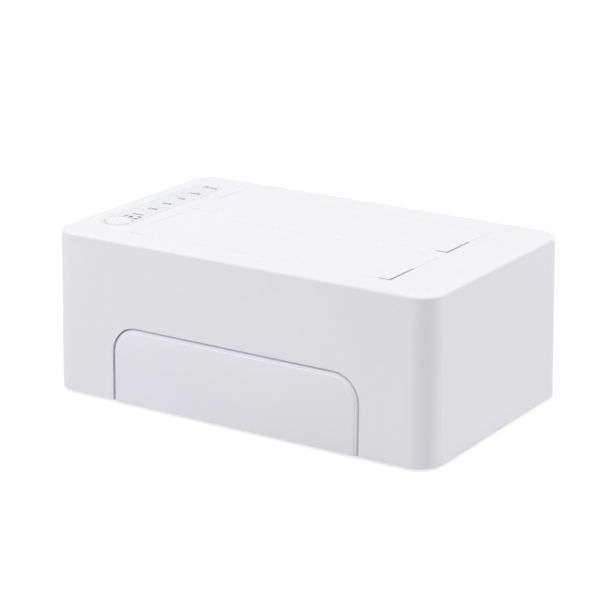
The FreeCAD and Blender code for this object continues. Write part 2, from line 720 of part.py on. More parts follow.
def cut_top_openings(body):
    """Open the roof over both bays, and for the strip, the button and the lights."""
    for side, name in ((-1, "FrontBay"), (1, "RearBay")):
        middle = bay_places(side)["middle"]
        bay = rectangle(body, name + "Plan", "XY_Plane", "bay_length", "bay_width",
                        ("bay_middle_x", middle, "case_height"))
        opened = pocket(body, name, bay, "roof + 1")
        chamfer(body, name + "Edge", opened, "opening_bevel", around_opening(value(middle)))
    strip = rounded_rectangle(body, "StripPlan", "XY_Plane", "strip_width", "strip_length", "strip_round",
                              ("strip_x", "strip_y", "case_height"))
    pocket(body, "StripRecess", strip, "strip_thickness")
    button = circles(body, "ButtonPlan", "XY_Plane", "button_diameter + 2 * button_gap",
                     [("strip_x", "button_y")], ("0", "0", "case_height"))
    pocket(body, "ButtonHole", button, "roof + 1")
    square_pockets(body, "LightHole", "light_side + 2 * light_gap", LIGHTS, "roof_under - 1", "roof + 1")


def around_opening(middle):
    """Return a test for the upper edges of the bay opening with its middle at a place along Y."""
    top = value("case_height")
    reach_x = value("bay_length") / 2 + 0.01
    reach_y = value("bay_width") / 2 + 0.01

    def test(point):
        beside = abs(point.x - value("bay_middle_x")) < reach_x and abs(point.y - middle) < reach_y
        return beside and abs(point.z - top) < 0.01

    return test


def make_base_plate():
    body = new_body("base_plate")
    inset = "wall + base_gap"
    pad(body, "Plate", case_outline(body, "Outline", inset, "foot_drop"), "base_thickness", tapered=True)
    square_pads(body, "Standoff", "standoff_side", BOARD_HOLES, "base_top - base_thickness / 4",
                "board_height - base_top + base_thickness / 4")
    bore_depth = "small_screw_length - board_thickness"
    square_pockets(body, "StandoffBore", "small_screw + 2 * hole_clearance", BOARD_HOLES,
                   f"board_height - ({bore_depth})", bore_depth)
    square_pockets(body, "ScrewHole", "case_screw + 2 * through_clearance", POST_PLACES,
                   "foot_drop", "base_thickness")
    sinks = circles(body, "HeadSinkPlan", "XY_Plane", "case_screw_head + 2 * through_clearance",
                    POST_PLACES, ("0", "0", "foot_drop"))
    pocket(body, "HeadSinks", sinks, "case_head_height", forwards=True)
    recesses = circles(body, "FootRecessPlan", "XY_Plane", "foot_diameter + 2 * foot_gap",
                       four("foot_x", "foot_y"), ("0", "0", "foot_drop"))
    pocket(body, "FootRecesses", recesses, "foot_recess", forwards=True)
    vent = rectangle(body, "VentPlan", "XY_Plane", "vent_width", "vent_length",
                     ("-(vent_count - 1) * vent_pitch / 2", "0", "base_top"))
    first = pocket(body, "Vent", vent, "base_thickness + 1")
    repeat(body, "Vents", first, (vent, ["H_Axis"]), "(vent_count - 1) * vent_pitch", "vent_count")
    return body


def make_front_panel():
    """Inverted U insert, flush with the leaning front and held by a flange behind the wall."""
    body = new_body("front_panel")
    face = arch(body, "Face", "panel_width", "panel_height", "panel_corner",
                ("0", "foot_drop", "case_width / 2"), "draft_angle")
    plate = pad(body, "Plate", face, "wall + base_gap / 2", backwards=True)
    doc.recompute()
    skin = face.Shape

    def on_face(point):
        """Whether a point lies on the outline of the front face, above its foot."""
        gap = skin.distToShape(Part.Vertex(point))[0]
        return gap < 0.001
    foot = value("foot_drop")
    rim = chamfer(body, "Rim", plate, "panel_bevel", on_face)
    rim.Base = (plate, [name for name in rim.Base[1] if not lies_low(plate, name, foot)])
    flange = arch(body, "FlangeFace", "panel_width + 2 * panel_flange",
                  "panel_height + panel_flange - base_thickness", "panel_corner + panel_flange",
                  ("0", "base_top + solder_gap", "case_width / 2 - wall - base_gap / 4"), "draft_angle")
    pad(body, "Flange", flange, "panel_flange_thickness", backwards=True)
    return body


def lies_low(feature, edge_name, height):
    """Whether every vertex of an edge is at a height."""
    edge = feature.Shape.getElement(edge_name)
    return all(abs(vertex.Point.z - height) < 0.01 for vertex in edge.Vertexes)


def make_feet():
    feet = []
    for index, place in enumerate(four("foot_x", "foot_y")):
        disc = cylinder(f"FootDisc{index}", place, "0", "foot_diameter", "foot_drop + foot_recess")
        feet.append(disc)
    return group("feet", feet)


# ---------------------------------------------------------------- bays

def make_bay_guide(label, side):
    """Well below one opening, stepped in at its foot into the cradle for a drive."""
    place = bay_places(side)
    body = new_body(label)
    well_width = "bay_width + hinge_room + 2 * guide_wall"
    well_middle = f"{place['middle']} + hinge_room / 2"
    well_floor = "cradle_top - guide_floor"
    well = rectangle(body, "WellPlan", "XY_Plane", "guide_length", well_width,
                     ("bay_middle_x", well_middle, well_floor))
    pad(body, "Well", well, f"roof_under - roof_gap - ({well_floor})")
    cradle_middle = f"{place['front']} + cradle_width / 2"
    cradle = rectangle(body, "CradlePlan", "XY_Plane", "cradle_length + 2 * guide_wall",
                       "cradle_width + 2 * guide_wall",
                       ("bay_middle_x", cradle_middle, "cradle_height - guide_floor"))
    pad(body, "Cradle", cradle, "cradle_depth")
    lugs = [centre for centre in LUG_PLACES if centre[1] == place["lug"]]
    plan = rectangle(body, "LugPlan", "XY_Plane", "2 * (lug_spread + lug_end)", "lug_width",
                     ("bay_middle_x", place["lug"], "lug_top - roof_gap"))
    pad(body, "Lugs", plan, "lug_thickness", backwards=True)
    square_pockets(body, "LugHole", "small_screw + 2 * through_clearance", lugs,
                   "lug_top - roof_gap - lug_thickness", "lug_thickness")
    inside = rectangle(body, "WellHollowPlan", "XY_Plane", "guide_inner", "bay_width + hinge_room",
                       ("bay_middle_x", well_middle, "cradle_top"))
    pocket(body, "WellHollow", inside, "roof_under - cradle_top", forwards=True)
    swing = rectangle(body, "SwingPlan", "XY_Plane", "guide_inner", "2 * swing_room",
                      ("bay_middle_x", place["front"], "roof_under"))
    pocket(body, "SwingHollow", swing, "swing_height")
    seat = rectangle(body, "SeatPlan", "XY_Plane", "cradle_length", "cradle_width",
                     ("bay_middle_x", cradle_middle, "cradle_top"))
    hollow = pocket(body, "Seat", seat, "cradle_depth")
    rim = value("cradle_top")
    front = value(place["front"])

    def on_rim(point):
        return abs(point.z - rim) < 0.01 and point.y > front - 0.01
    seat_length = value("cradle_length") / 2
    middle = value("bay_middle_x")
    back = value(f"{place['front']} + cradle_width")

    def on_seat_rim(point):
        inside_x = abs(abs(point.x - middle) - seat_length) < 0.01
        inside_y = min(abs(point.y - front), abs(point.y - back)) < 0.01
        return on_rim(point) and inside_x and inside_y
    lead_edges = edges_where(hollow, on_seat_rim)
    lead = body.newObject("PartDesign::Chamfer", "Lead")
    lead.Base = (hollow, [name for name in lead_edges if not runs_along_front(hollow, name, front)])
    bind(lead, Size="cradle_lead")
    window = rectangle(body, "WindowPlan", "XY_Plane",
                       "socket_length + 2 * socket_window", "socket_width + 2 * socket_window",
                       ("socket_x", f"{place['front']} + socket_inset", "cradle_height"))
    pocket(body, "Window", window, "guide_floor + 1")
    pivots = circles(body, "PivotPlan", "YZ_Plane", "pin_hole", [(place["pivot"], "pivot_z")],
                     ("0", "0", "bay_middle_x - guide_length"))
    pocket(body, "PivotHoles", pivots, "2 * guide_length", forwards=True)
    return body


def runs_along_front(feature, edge_name, front):
    """Whether an edge lies in the front wall, where the seat and the well are flush."""
    edge = feature.Shape.getElement(edge_name)
    return all(abs(vertex.Point.y - front) < 0.01 for vertex in edge.Vertexes)


def make_flap(label, side):
    """Flap with a stiffened underside, hinge knuckles along its back and two stop tabs."""
    place = bay_places(side)
    body = new_body(label)
    flap_width = "bay_width - 2 * flap_gap"
    outline = rectangle(body, "Outline", "XY_Plane", "flap_length", flap_width,
                        ("bay_middle_x", place["middle"], "rim_under"))
    slab = pad(body, "Slab", outline, "flap_plate + flap_rim")
    top = value("flap_top")
    chamfer(body, "TopEdge", slab, "flap_bevel", lambda point: abs(point.z - top) < 0.01)
    under = rectangle(body, "UndersidePlan", "XY_Plane", "flap_length - 2 * flap_rim_wall", flap_width,
                      ("bay_middle_x", f"{place['middle']} + flap_rim_wall", "rim_under"))
    pocket(body, "Underside", under, "flap_rim", forwards=True)
    rib_span = f"{place['pivot']} - knuckle_diameter / 2 - {place['front']} - flap_gap"
    rib = rectangle(body, "RibPlan", "XY_Plane", "flap_rim_wall", f"{rib_span} - flap_bevel",
                    ("bay_middle_x - rib_run / 2",
                     f"{place['front']} + flap_gap + flap_bevel + ({rib_span} - flap_bevel) / 2",
                     "rim_under"))
    first = pad(body, "Rib", rib, "flap_rim + flap_plate / 4")
    repeat(body, "Ribs", first, (rib, ["H_Axis"]), "rib_run", "flap_ribs")
    add_flap_knuckles(body, place)
    add_stop_tabs(body, place)
    cut_corner_reliefs(body, place)
    bore = circles(body, "BorePlan", "YZ_Plane", "pin_hole", [(place["pivot"], "pivot_z")],
                   ("0", "0", "bay_middle_x - bay_length"))
    pocket(body, "Bore", bore, "2 * bay_length", forwards=True)
    return body


def add_flap_knuckles(body, place):
    """Three knuckles on the hinge axis, each joined to the plate by a web."""
    start = "bay_middle_x - flap_length / 2"
    barrel = circles(body, "KnucklePlan", "YZ_Plane", "knuckle_diameter", [(place["pivot"], "pivot_z")],
                     ("0", "0", start))
    first = pad(body, "Knuckle", barrel, "knuckle_length")
    repeat(body, "Knuckles", first, (barrel, ["N_Axis"]), "knuckle_run", "3")
    web_front = f"({place['pivot']} - knuckle_diameter / 2)"
    web_back = f"({place['back']} - flap_gap)"
    web_height = "flap_under + flap_plate / 4 - pivot_z"
    web = rectangle(body, "WebPlan", "YZ_Plane", f"{web_back} - {web_front}", web_height,
                    (f"({web_front} + {web_back}) / 2", f"pivot_z + ({web_height}) / 2", start))
    first_web = pad(body, "Web", web, "knuckle_length")
    repeat(body, "Webs", first_web, (web, ["N_Axis"]), "knuckle_run", "3")


def add_stop_tabs(body, place):
    """One bar across each end that meets the roof when the flap is shut."""
    stop_top = "roof_under - stop_gap"
    stop_y = f"{place['front']} + flap_gap + stop_length"
    for end, name in ((-1, "Left"), (1, "Right")):
        depth = "(stop_reach + flap_rim_wall)"
        edge = f"bay_middle_x + {end} * (flap_length / 2 + stop_reach - {depth} / 2)"
        tab = rectangle(body, name + "StopPlan", "XY_Plane", depth, "stop_length",
                        (edge, stop_y, stop_top))
        pad(body, name + "Stop", tab, "stop_thickness", backwards=True)


def cut_corner_reliefs(body, place):
    """Notch the plate at both free corners, so that a fingertip finds the edge."""
    sides = (("End", "relief_depth", "relief_length"), ("Edge", "relief_return", "relief_depth"))
    for end, name in ((-1, "Left"), (1, "Right")):
        corner = (f"bay_middle_x + {end} * flap_length / 2", f"{place['front']} + flap_gap", "flap_top")
        for part, along_x, along_y in sides:
            plan = rectangle(body, name + part + "Plan", "XY_Plane", f"2 * {along_x}",
                             f"2 * {along_y}", corner)
            pocket(body, name + part + "Relief", plan, "flap_plate")


def make_flap_pin(label, side):
    place = bay_places(side)
    body = new_body(label)
    plan = circles(body, "Section", "YZ_Plane", "pin_diameter", [(place["pivot"], "pivot_z")],
                   ("0", "0", "bay_middle_x - guide_length / 2 - pin_overhang"))
    pad(body, "Rod", plan, "guide_length + 2 * pin_overhang")
    return body


def make_flap_spring(label, side):
    """Torsion spring: the sleeve of its close-wound coil and a leg down the back wall."""
    place = bay_places(side)
    body = new_body(label)
    middle = "bay_middle_x + spring_place"
    start = f"{middle} - spring_turns * spring_wire / 2"
    coil = circles(body, "CoilPlan", "YZ_Plane", "spring_bore + 2 * spring_wire",
                   [(place["pivot"], "pivot_z")], ("0", "0", start))
    pad(body, "Coil", coil, "spring_turns * spring_wire")
    bore = circles(body, "BorePlan", "YZ_Plane", "spring_bore", [(place["pivot"], "pivot_z")],
                   ("0", "0", start))
    pocket(body, "Bore", bore, "spring_turns * spring_wire", forwards=True)
    leg = rectangle(body, "LegSection", "XY_Plane", "spring_wire", "spring_wire",
                    (middle, f"{place['pivot']} + (spring_bore + spring_wire) / 2", "pivot_z"))
    pad(body, "Leg", leg, "spring_leg", backwards=True)
    return body


# ---------------------------------------------------------------- controls

def make_indicator_strip():
    body = new_body("indicator_strip")
    outline = rounded_rectangle(body, "Outline", "XY_Plane", "strip_width - 2 * strip_gap",
                                "strip_length - 2 * strip_gap", "strip_round - strip_gap",
                                ("strip_x", "strip_y", "case_height - strip_thickness"))
    pad(body, "Plate", outline, "strip_thickness")
    hole = circles(body, "ButtonPlan", "XY_Plane", "button_diameter + 2 * button_gap",
                   [("strip_x", "button_y")], ("0", "0", "case_height"))
    pocket(body, "ButtonHole", hole, "strip_thickness + 1")
    return body


def make_start_button():
    """Round cap that slides in the roof, kept in by a flange below it."""
    body = new_body("start_button")
    centre = [("strip_x", "button_y")]
    flange_top = "roof_under - stop_gap"
    cap = circles(body, "CapPlan", "XY_Plane", "button_diameter", centre, ("0", "0", flange_top))
    raised = pad(body, "Cap", cap, f"case_height + button_rise - ({flange_top})")
    top = value("case_height + button_rise")
    chamfer(body, "CapEdge", raised, "button_edge", lambda point: abs(point.z - top) < 0.01)
    square_pads(body, "Flange", "button_diameter + 2 * button_flange", centre,
                f"{flange_top} - stop_thickness", "stop_thickness")
    return body


def make_control_board():
    body = new_body("control_board")
    outline = rectangle(body, "Outline", "XY_Plane", "strip_width", "control_board_length",
                        ("strip_x", "control_board_y", "control_under"))
    pad(body, "Board", outline, "board_thickness")
    square_pockets(body, "PegHole", "control_peg_side + 2 * control_peg_gap", CONTROL_POSTS,
                   "control_under", "board_thickness")
    return body


def make_start_switch():
    """Tact switch below the button: a square can and a round plunger."""
    place = ("strip_x", "button_y")
    plunger_top = "roof_under - stop_gap - stop_thickness - button_travel - solder_gap * 4"
    height = f"({plunger_top}) - control_top"
    can = box("SwitchCan", place, "control_top", ("coil_side", "coil_side", f"({height}) * 0.7"))
    plunger = cylinder("SwitchPlunger", place, "control_top", "coil_side * 0.55", height)
    switch = doc.addObject("Part::Fuse", "start_switch")
    switch.Base = can
    switch.Tool = plunger
    switch.Label = "start_switch"
    return switch


def make_status_lights():
    """Upright lights that end in the roof, just below the strip."""
    top = "case_height - strip_thickness - light_gap"
    lights = []
    for index, place in enumerate(LIGHTS):
        size = ("light_side", "light_side", f"{top} - control_top")
        lights.append(box(f"Light{index}", place, "control_top", size))
    return group("status_lights", lights)


def make_cable_headers():
    """A header on top of the main board and one below the control board, slotted for the cable."""
    slot_size = ("cable_thickness + 2 * header_slot", "cable_width + 2 * header_slot", "header_height")
    place = ("control_post_x", "cable_y")
    size = ("header_width", "header_length", "header_height")
    lower = cut("LowerHeader", box("LowerBlock", place, "board_top", size),
                box("LowerSlot", place, "board_top + board_thickness / 2", slot_size))
    below = "control_under - header_height"
    upper = cut("UpperHeader", box("UpperBlock", place, below, size),
                box("UpperSlot", place, f"{below} - board_thickness / 2", slot_size))
    return group("cable_headers", [lower, upper])


def make_board_cable():
    """Flat cable that hangs straight between its two headers."""
    start = "board_top + board_thickness / 2 + header_slot"
    end = "control_under - board_thickness / 2 - header_slot"
    cable = box("board_cable", ("control_post_x", "cable_y"), start,
                ("cable_thickness", "cable_width", f"({end}) - ({start})"))
    cable.Label = "board_cable"
    return cable


# ---------------------------------------------------------------- main board

def make_main_board():
    body = new_body("main_board")
    outline = rectangle(body, "Outline", "XY_Plane", "board_length", "board_back - board_front",
                        ("0", "(board_back + board_front) / 2", "board_height"))
    pad(body, "Board", outline, "board_thickness")
    square_pockets(body, "Hole", "small_screw + 2 * through_clearance", BOARD_HOLES, "board_height",
                   "board_thickness")
    return body


def make_drive_socket(label, side):
    """Upright socket for a drive: a body on a foot, with one slot for data and one for power."""
    place_y = f"{bay_places(side)['front']} + socket_inset"
    body = new_body(label)
    foot = rectangle(body, "FootPlan", "XY_Plane", "socket_length + 2 * socket_foot",
                     "socket_width + 2 * socket_foot", ("socket_x", place_y, "board_top"))
    pad(body, "Foot", foot, "socket_foot * 2")
    block = rectangle(body, "BlockPlan", "XY_Plane", "socket_length", "socket_width",
                      ("socket_x", place_y, "board_top"))
    pad(body, "Block", block, "socket_top - board_top")
    spare = "(socket_length - signal_slot_length - power_slot_length) / 3"
    power_x = f"socket_x - socket_length / 2 + {spare} + power_slot_length / 2"
    signal_x = f"socket_x + socket_length / 2 - {spare} - signal_slot_length / 2"
    for name, middle, length in (
        ("Power", power_x, "power_slot_length"),
        ("Signal", signal_x, "signal_slot_length"),
    ):
        slot = rectangle(body, name + "Plan", "XY_Plane", length, "socket_slot",
                         (middle, place_y, "socket_top"))
        pocket(body, name + "Slot", slot, "socket_slot_depth")
        key = rectangle(body, name + "KeyPlan", "XY_Plane", "socket_slot / 2", "socket_slot",
                        (f"{middle} + {length} / 2 - socket_slot / 4",
                         f"{place_y} - socket_slot / 2", "socket_top"))
        pocket(body, name + "Key", key, "socket_slot_depth")
    return body


def make_usb_port():
    """Data port: a metal shell with a stepped mouth around a tongue."""
    body = new_body("usb_port")
    middle = "board_top + usb_height / 2"
    shell = rectangle(body, "ShellPlan", "XZ_Plane", "usb_width", "usb_height",
                      ("usb_x", middle, "-io_floor"))
    pad(body, "Shell", shell, "io_floor - port_inner", backwards=False)
    lower_height = "usb_height - 2 * usb_wall - usb_shoulder"
    lower = rectangle(body, "LowerPlan", "XZ_Plane", "usb_width - 2 * usb_wall", lower_height,
                      ("usb_x", f"board_top + usb_wall + ({lower_height}) / 2", "-io_floor"))
    pocket(body, "LowerMouth", lower, "usb_depth", forwards=True)
    upper = rectangle(body, "UpperPlan", "XZ_Plane", "usb_width - 2 * usb_wall - usb_shoulder",
                      "usb_shoulder + 0.2",
                      ("usb_x", "board_top + usb_height - usb_wall - usb_shoulder / 2 - 0.1", "-io_floor"))
    pocket(body, "UpperMouth", upper, "usb_depth", forwards=True)
    tongue = rectangle(body, "TonguePlan", "XZ_Plane", "usb_width / 2", f"({lower_height}) / 3",
                       ("usb_x", f"board_top + usb_wall + ({lower_height}) / 2", "1 - io_floor"))
    pad(body, "Tongue", tongue, "usb_depth")
    return body


def make_power_jack():
    """Direct current jack: a block behind the wall, a collar through it and a pin in the bore."""
    body = new_body("power_jack")
    middle = "board_top + jack_height / 2"
    block = rectangle(body, "BlockPlan", "XZ_Plane", "jack_width", "jack_height",
                      ("jack_x", middle, "port_gap - io_inner"))
    pad(body, "Block", block, "io_inner - port_gap - port_inner")
    centre = [("jack_x", middle)]
    collar = circles(body, "CollarPlan", "XZ_Plane", "jack_collar", centre, ("0", "0", "-io_floor"))
    pad(body, "Collar", collar, "wall + 2 * port_gap")
    mouth = circles(body, "MouthPlan", "XZ_Plane", "jack_bore", centre, ("0", "0", "-io_floor"))
    pocket(body, "Mouth", mouth, "jack_depth", forwards=True)
    pin = circles(body, "PinPlan", "XZ_Plane", "jack_pin", centre, ("0", "0", "1 - io_floor"))
    pad(body, "Pin", pin, "jack_depth")
    return body


def make_power_switch():
    """Housing of the rocker switch: a body through the wall, a rim on it and a pocket."""
    body = new_body("power_switch")
    block = rectangle(body, "BlockPlan", "XZ_Plane", "switch_width", "switch_height",
                      ("switch_x", "switch_z", "-io_floor - switch_rim_thickness"))
    pad(body, "Block", block, "switch_depth + switch_rim_thickness")
    rim = rounded_rectangle(body, "RimPlan", "XZ_Plane", "switch_width + 2 * switch_rim",
                            "switch_height + 2 * switch_rim", "switch_rim",
                            ("switch_x", "switch_z", "-io_floor - solder_gap"))
    pad(body, "Rim", rim, "switch_rim_thickness", backwards=True)
    well_depth = "rocker_depth + rocker_stub + rocker_gap"
    hollow = rectangle(body, "HollowPlan", "XZ_Plane", "rocker_width + 3 * rocker_gap",
                       "rocker_height + 2 * rocker_gap",
                       ("switch_x", "switch_z", "-io_floor - switch_rim_thickness - solder_gap"))
    pocket(body, "Hollow", hollow, f"{well_depth} + switch_rim_thickness", forwards=True)
    stub = circles(body, "StubPlan", "XY_Plane", "rocker_stub + 2 * pin_clearance",
                   [("switch_x", "rocker_y")],
                   ("0", "0", "switch_z - rocker_height / 2 - rocker_gap - rocker_stub_length"))
    pocket(body, "StubHoles", stub, "rocker_height + 2 * rocker_gap + 2 * rocker_stub_length",
           forwards=True)
    leg_top = "(switch_z - switch_height / 2 + leg_thickness)"
    legs = rectangle(body, "LegPlan", "XZ_Plane", "leg_width", f"{leg_top} - board_top",
                     ("switch_x - switch_width / 4", f"({leg_top} + board_top) / 2",
                      "switch_depth - io_floor - leg_width"))
    leg = pad(body, "Leg", legs, "leg_thickness", backwards=True)
    repeat(body, "Legs", leg, (legs, ["H_Axis"]), "switch_width / 2", "2")
    return body


def make_power_rocker():
    """Rocker with a hollow face on two stub shafts, resting at its off end."""
    body = new_body("power_rocker")
    sketch = new_sketch(body, "Profile", "XY_Plane", ("0", "0", "-rocker_height / 2"))
    half = value("rocker_width") / 2
    peak = value("rocker_depth + rocker_peak")
    dish = value("rocker_dish")
    back = value("rocker_stub")
    outer = [Vector(-half, peak), Vector(-half, peak - back * 1.6), Vector(-back * 0.6, -back * 0.9),
             Vector(back * 0.6, -back * 0.9), Vector(half, peak - back * 1.6), Vector(half, peak)]
    for index in range(5):
        sketch.addGeometry(Part.LineSegment(outer[index], outer[index + 1]), False)
    radius = (half * half + dish * dish) / (2 * dish)
    circle = Part.Circle(Vector(0, peak - dish + radius, 0), Vector(0, 0, 1), radius)
    swing = math.asin(half / radius)
    sketch.addGeometry(Part.ArcOfCircle(circle, -math.pi / 2 - swing, -math.pi / 2 + swing), False)
    bind_points(sketch, [
        ("-rocker_width / 2", "rocker_depth + rocker_peak"),
        ("-rocker_width / 2", "rocker_depth + rocker_peak - rocker_stub * 1.6"),
        ("-rocker_stub * 0.6", "-rocker_stub * 0.9"),
        ("rocker_stub * 0.6", "-rocker_stub * 0.9"),
        ("rocker_width / 2", "rocker_depth + rocker_peak - rocker_stub * 1.6"),
    ])
    sketch.addConstraint(Sketcher.Constraint("Coincident", 4, 2, 5, 2))
    sketch.addConstraint(Sketcher.Constraint("Coincident", 5, 1, 0, 1))
    measure(sketch, "DistanceX", -1, 1, 4, 2, "rocker_width / 2")
    measure(sketch, "DistanceY", -1, 1, 4, 2, "rocker_depth + rocker_peak")
    chord = "rocker_width / 2"
    measure(sketch, "Radius", 5, f"(({chord}) * ({chord}) + rocker_dish * rocker_dish) / (2 * rocker_dish)")
    pad(body, "Rocker", sketch, "rocker_height")
    stub = circles(body, "StubPlan", "XY_Plane", "rocker_stub", [("0", "0")],
                   ("0", "0", "-rocker_height / 2 - rocker_gap - rocker_stub_length + solder_gap"))
    pad(body, "Stubs", stub, "rocker_height + 2 * (rocker_gap + rocker_stub_length - solder_gap)")
    body.setExpression("Placement.Base.x", formula("switch_x"))
    body.setExpression("Placement.Base.y", formula("rocker_y"))
    body.setExpression("Placement.Base.z", formula("switch_z"))
    body.Placement = Placement(Vector(0, 0, 0), Rotation(Vector(0, 0, 1), 1))
    body.setExpression("Placement.Rotation.Angle", formula("rocker_tilt * 1 deg"))
    return body


def bind_points(sketch, places):
    """Bind the start of each line of a sketch to a pair of formulas and join the lines."""
    for index, (x, y) in enumerate(places):
        measure(sketch, "DistanceX", -1, 1, index, 1, x)
        measure(sketch, "DistanceY", -1, 1, index, 1, y)
        if index > 0:
            sketch.addConstraint(Sketcher.Constraint("Coincident", index - 1, 2, index, 1))


def make_chips():
    """The controller in the middle and one bridge chip per bay, all below the bays."""
    middle = ("bay_middle_x + chip_shift", "0")
    controller = box("controller_chip", middle, "board_top", ("chip_side", "chip_side", "chip_height"))
    controller.Label = "controller_chip"
    bridges = []
    for side in (-1, 1):
        place = ("bay_middle_x + chip_shift", f"{side} * bay_pitch / 2")
        bridges.append(box(f"Bridge{side + 1}", place, "board_top",
                           ("bridge_side", "bridge_side", "bridge_height")))
    return [controller, group("bridge_chips", bridges)]


def make_power_parts():
    """Two inductors and three electrolytic cans beside the power jack."""
    coils = []
    for index in range(2):
        place = (f"jack_x + {index} * (coil_side + 2) + 6", "board_hole_front + 6")
        coils.append(box(f"Inductor{index}", place, "board_top", ("coil_side", "coil_side", "coil_height")))
    cans = []
    for index in range(2):
        place = ("board_length / 2 - can_diameter / 2 - 0.6", f"{index} * (can_diameter + 2) - 12")
        cans.append(cylinder(f"Can{index}", place, "board_top", "can_diameter", "can_height"))
    return [group("inductors", coils), group("capacitors", cans)]


# ---------------------------------------------------------------- screws

def make_screw(name, place, seat, up, crossed, screw, length, head, head_height):
    """One screw: a shank from its seat into the thread, a head and perhaps a cross in the head."""
    shank_start = seat if up else f"{seat} - ({length})"
    head_start = f"{seat} - ({head_height})" if up else seat
    blank = doc.addObject("Part::Fuse", name + "Blank")
    blank.Base = prism(name + "Shank", place, shank_start, screw, length, 8)
    blank.Tool = prism(name + "Cap", place, head_start, head, head_height, 16 if crossed else 6)
    if not crossed:
        return blank
    cross_start = head_start if up else f"{seat} + ({head_height}) / 2"
    arms = []
    for arm, sides in (("A", ("screw_slot", f"{head} * 0.6")), ("B", (f"{head} * 0.6", "screw_slot"))):
        arms.append(box(name + "Arm" + arm, place, cross_start, (*sides, f"({head_height}) / 2")))
    cross = doc.addObject("Part::Fuse", name + "Cross")
    cross.Base = arms[0]
    cross.Tool = arms[1]
    return cut(name + "Screw", blank, cross)


def make_screws():
    small = ("small_screw", "small_screw_length - 0.2", "small_screw_head", "small_head_height")
    case = ("case_screw", "case_screw_length - 1", "case_screw_head", "case_head_height - solder_gap")
    families = (
        ("case_screws", "Case", POST_PLACES, "foot_drop + case_head_height", True, True, case),
        ("board_screws", "Board", BOARD_HOLES, "board_top", False, False, small),
        ("guide_screws", "Guide", LUG_PLACES, "lug_top - roof_gap - lug_thickness", True, False, small),
    )
    groups = []
    for label, name, places, seat, up, crossed, sizes in families:
        screws = [make_screw(f"{name}{index}", place, seat, up, crossed, *sizes)
                  for index, place in enumerate(places)]
        groups.append(group(label, screws))
    return groups


# ---------------------------------------------------------------- assembly

def make_parts():
    parts = [make_top_cover(), make_base_plate(), make_front_panel(), make_feet()]
    for side, end in ((-1, "front"), (1, "rear")):
        parts.append(make_bay_guide(f"{end}_bay_guide", side))
        parts.append(make_flap(f"{end}_bay_flap", side))
        parts.append(make_flap_pin(f"{end}_flap_pin", side))
        parts.append(make_flap_spring(f"{end}_flap_spring", side))
        parts.append(make_drive_socket(f"{end}_drive_socket", side))
    parts += [make_indicator_strip(), make_start_button(), make_control_board(), make_start_switch()]
    parts += [make_status_lights(), make_cable_headers(), make_board_cable(), make_main_board()]
    parts += [make_usb_port(), make_power_jack(), make_power_switch(), make_power_rocker()]
    parts += make_chips()
    parts += make_power_parts()
    parts += make_screws()
    return parts


def check(parts):
    """Raise on any object that failed and on any sub-part without a valid shape."""
    for thing in doc.Objects:
        if "Invalid" in thing.State or "Error" in thing.State:
            raise RuntimeError(f"{thing.Label} failed: {thing.getStatusString()}")
    for part in parts:
        if part.Shape.isNull() or not part.Shape.isValid():
            raise RuntimeError(f"{part.Label} has no valid shape")


def main():
    parts = make_parts()
    doc.recompute()
    check(parts)
    os.makedirs("parts", exist_ok=True)
    for part in parts:
        part.Shape.exportStep(f"parts/{part.Label}.step")


main()
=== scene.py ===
import math

import bpy
from mathutils import Matrix, Vector


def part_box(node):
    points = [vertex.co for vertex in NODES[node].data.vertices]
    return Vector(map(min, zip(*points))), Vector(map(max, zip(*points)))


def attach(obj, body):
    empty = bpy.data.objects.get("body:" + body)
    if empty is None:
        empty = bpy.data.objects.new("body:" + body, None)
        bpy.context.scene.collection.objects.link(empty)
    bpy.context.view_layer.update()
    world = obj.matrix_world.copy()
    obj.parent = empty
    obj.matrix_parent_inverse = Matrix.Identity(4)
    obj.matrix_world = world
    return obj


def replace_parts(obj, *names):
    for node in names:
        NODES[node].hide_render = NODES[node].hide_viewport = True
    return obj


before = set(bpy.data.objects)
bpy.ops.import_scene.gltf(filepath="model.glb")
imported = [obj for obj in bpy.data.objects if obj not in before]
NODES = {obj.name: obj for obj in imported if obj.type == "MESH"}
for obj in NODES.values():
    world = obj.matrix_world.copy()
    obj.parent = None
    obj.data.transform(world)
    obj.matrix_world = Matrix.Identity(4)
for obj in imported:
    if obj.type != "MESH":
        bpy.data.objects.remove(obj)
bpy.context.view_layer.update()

bl_info = {
    "name": "Drive duplicator",
    "version": (1, 0, 0),
    "blender": (4, 5, 0),
    "location": "View3D > Sidebar > Duplicator",
    "description": "Dresses a two-bay drive duplicator: finishes, fine pieces and stage",
    "category": "Object",
}

MM = 0.001


# ---------------------------------------------------------------- sizes and colours

def colour(name, default, text):
    """Return a colour property for a finish."""
    return bpy.props.FloatVectorProperty(
        name=name, description=text, subtype="COLOR", size=4, min=0.0, max=1.0, default=default)


def length(name, default, text):
    """Return a length property, in metres."""
    return bpy.props.FloatProperty(
        name=name, description=text, subtype="DISTANCE", unit="LENGTH", default=default)


class FinishSettings(bpy.types.PropertyGroup):
    """Colours and mould grain"""

    case: colour("Case", (0.885, 0.885, 0.905, 1.0), "Moulded case and base")
    panel: colour("Front panel", (0.87, 0.868, 0.898, 1.0), "Arched panel in the front")
    flap: colour("Flaps", (0.885, 0.885, 0.905, 1.0), "Doors of the drive bays")
    strip: colour("Control strip", (0.808, 0.815, 0.828, 1.0), "Glossy strip with the button")
    guide: colour("Bay guides", (0.84, 0.84, 0.86, 1.0), "Wells that hold the drives")
    mark: colour("Printed marks", (0.12, 0.122, 0.13, 1.0), "Marks on the control strip")
    grain_depth: length("Grain depth", 0.00003, "Height of the moulded grain")
    grain_size: length("Grain size", 0.00035, "Width of one dimple of the grain")


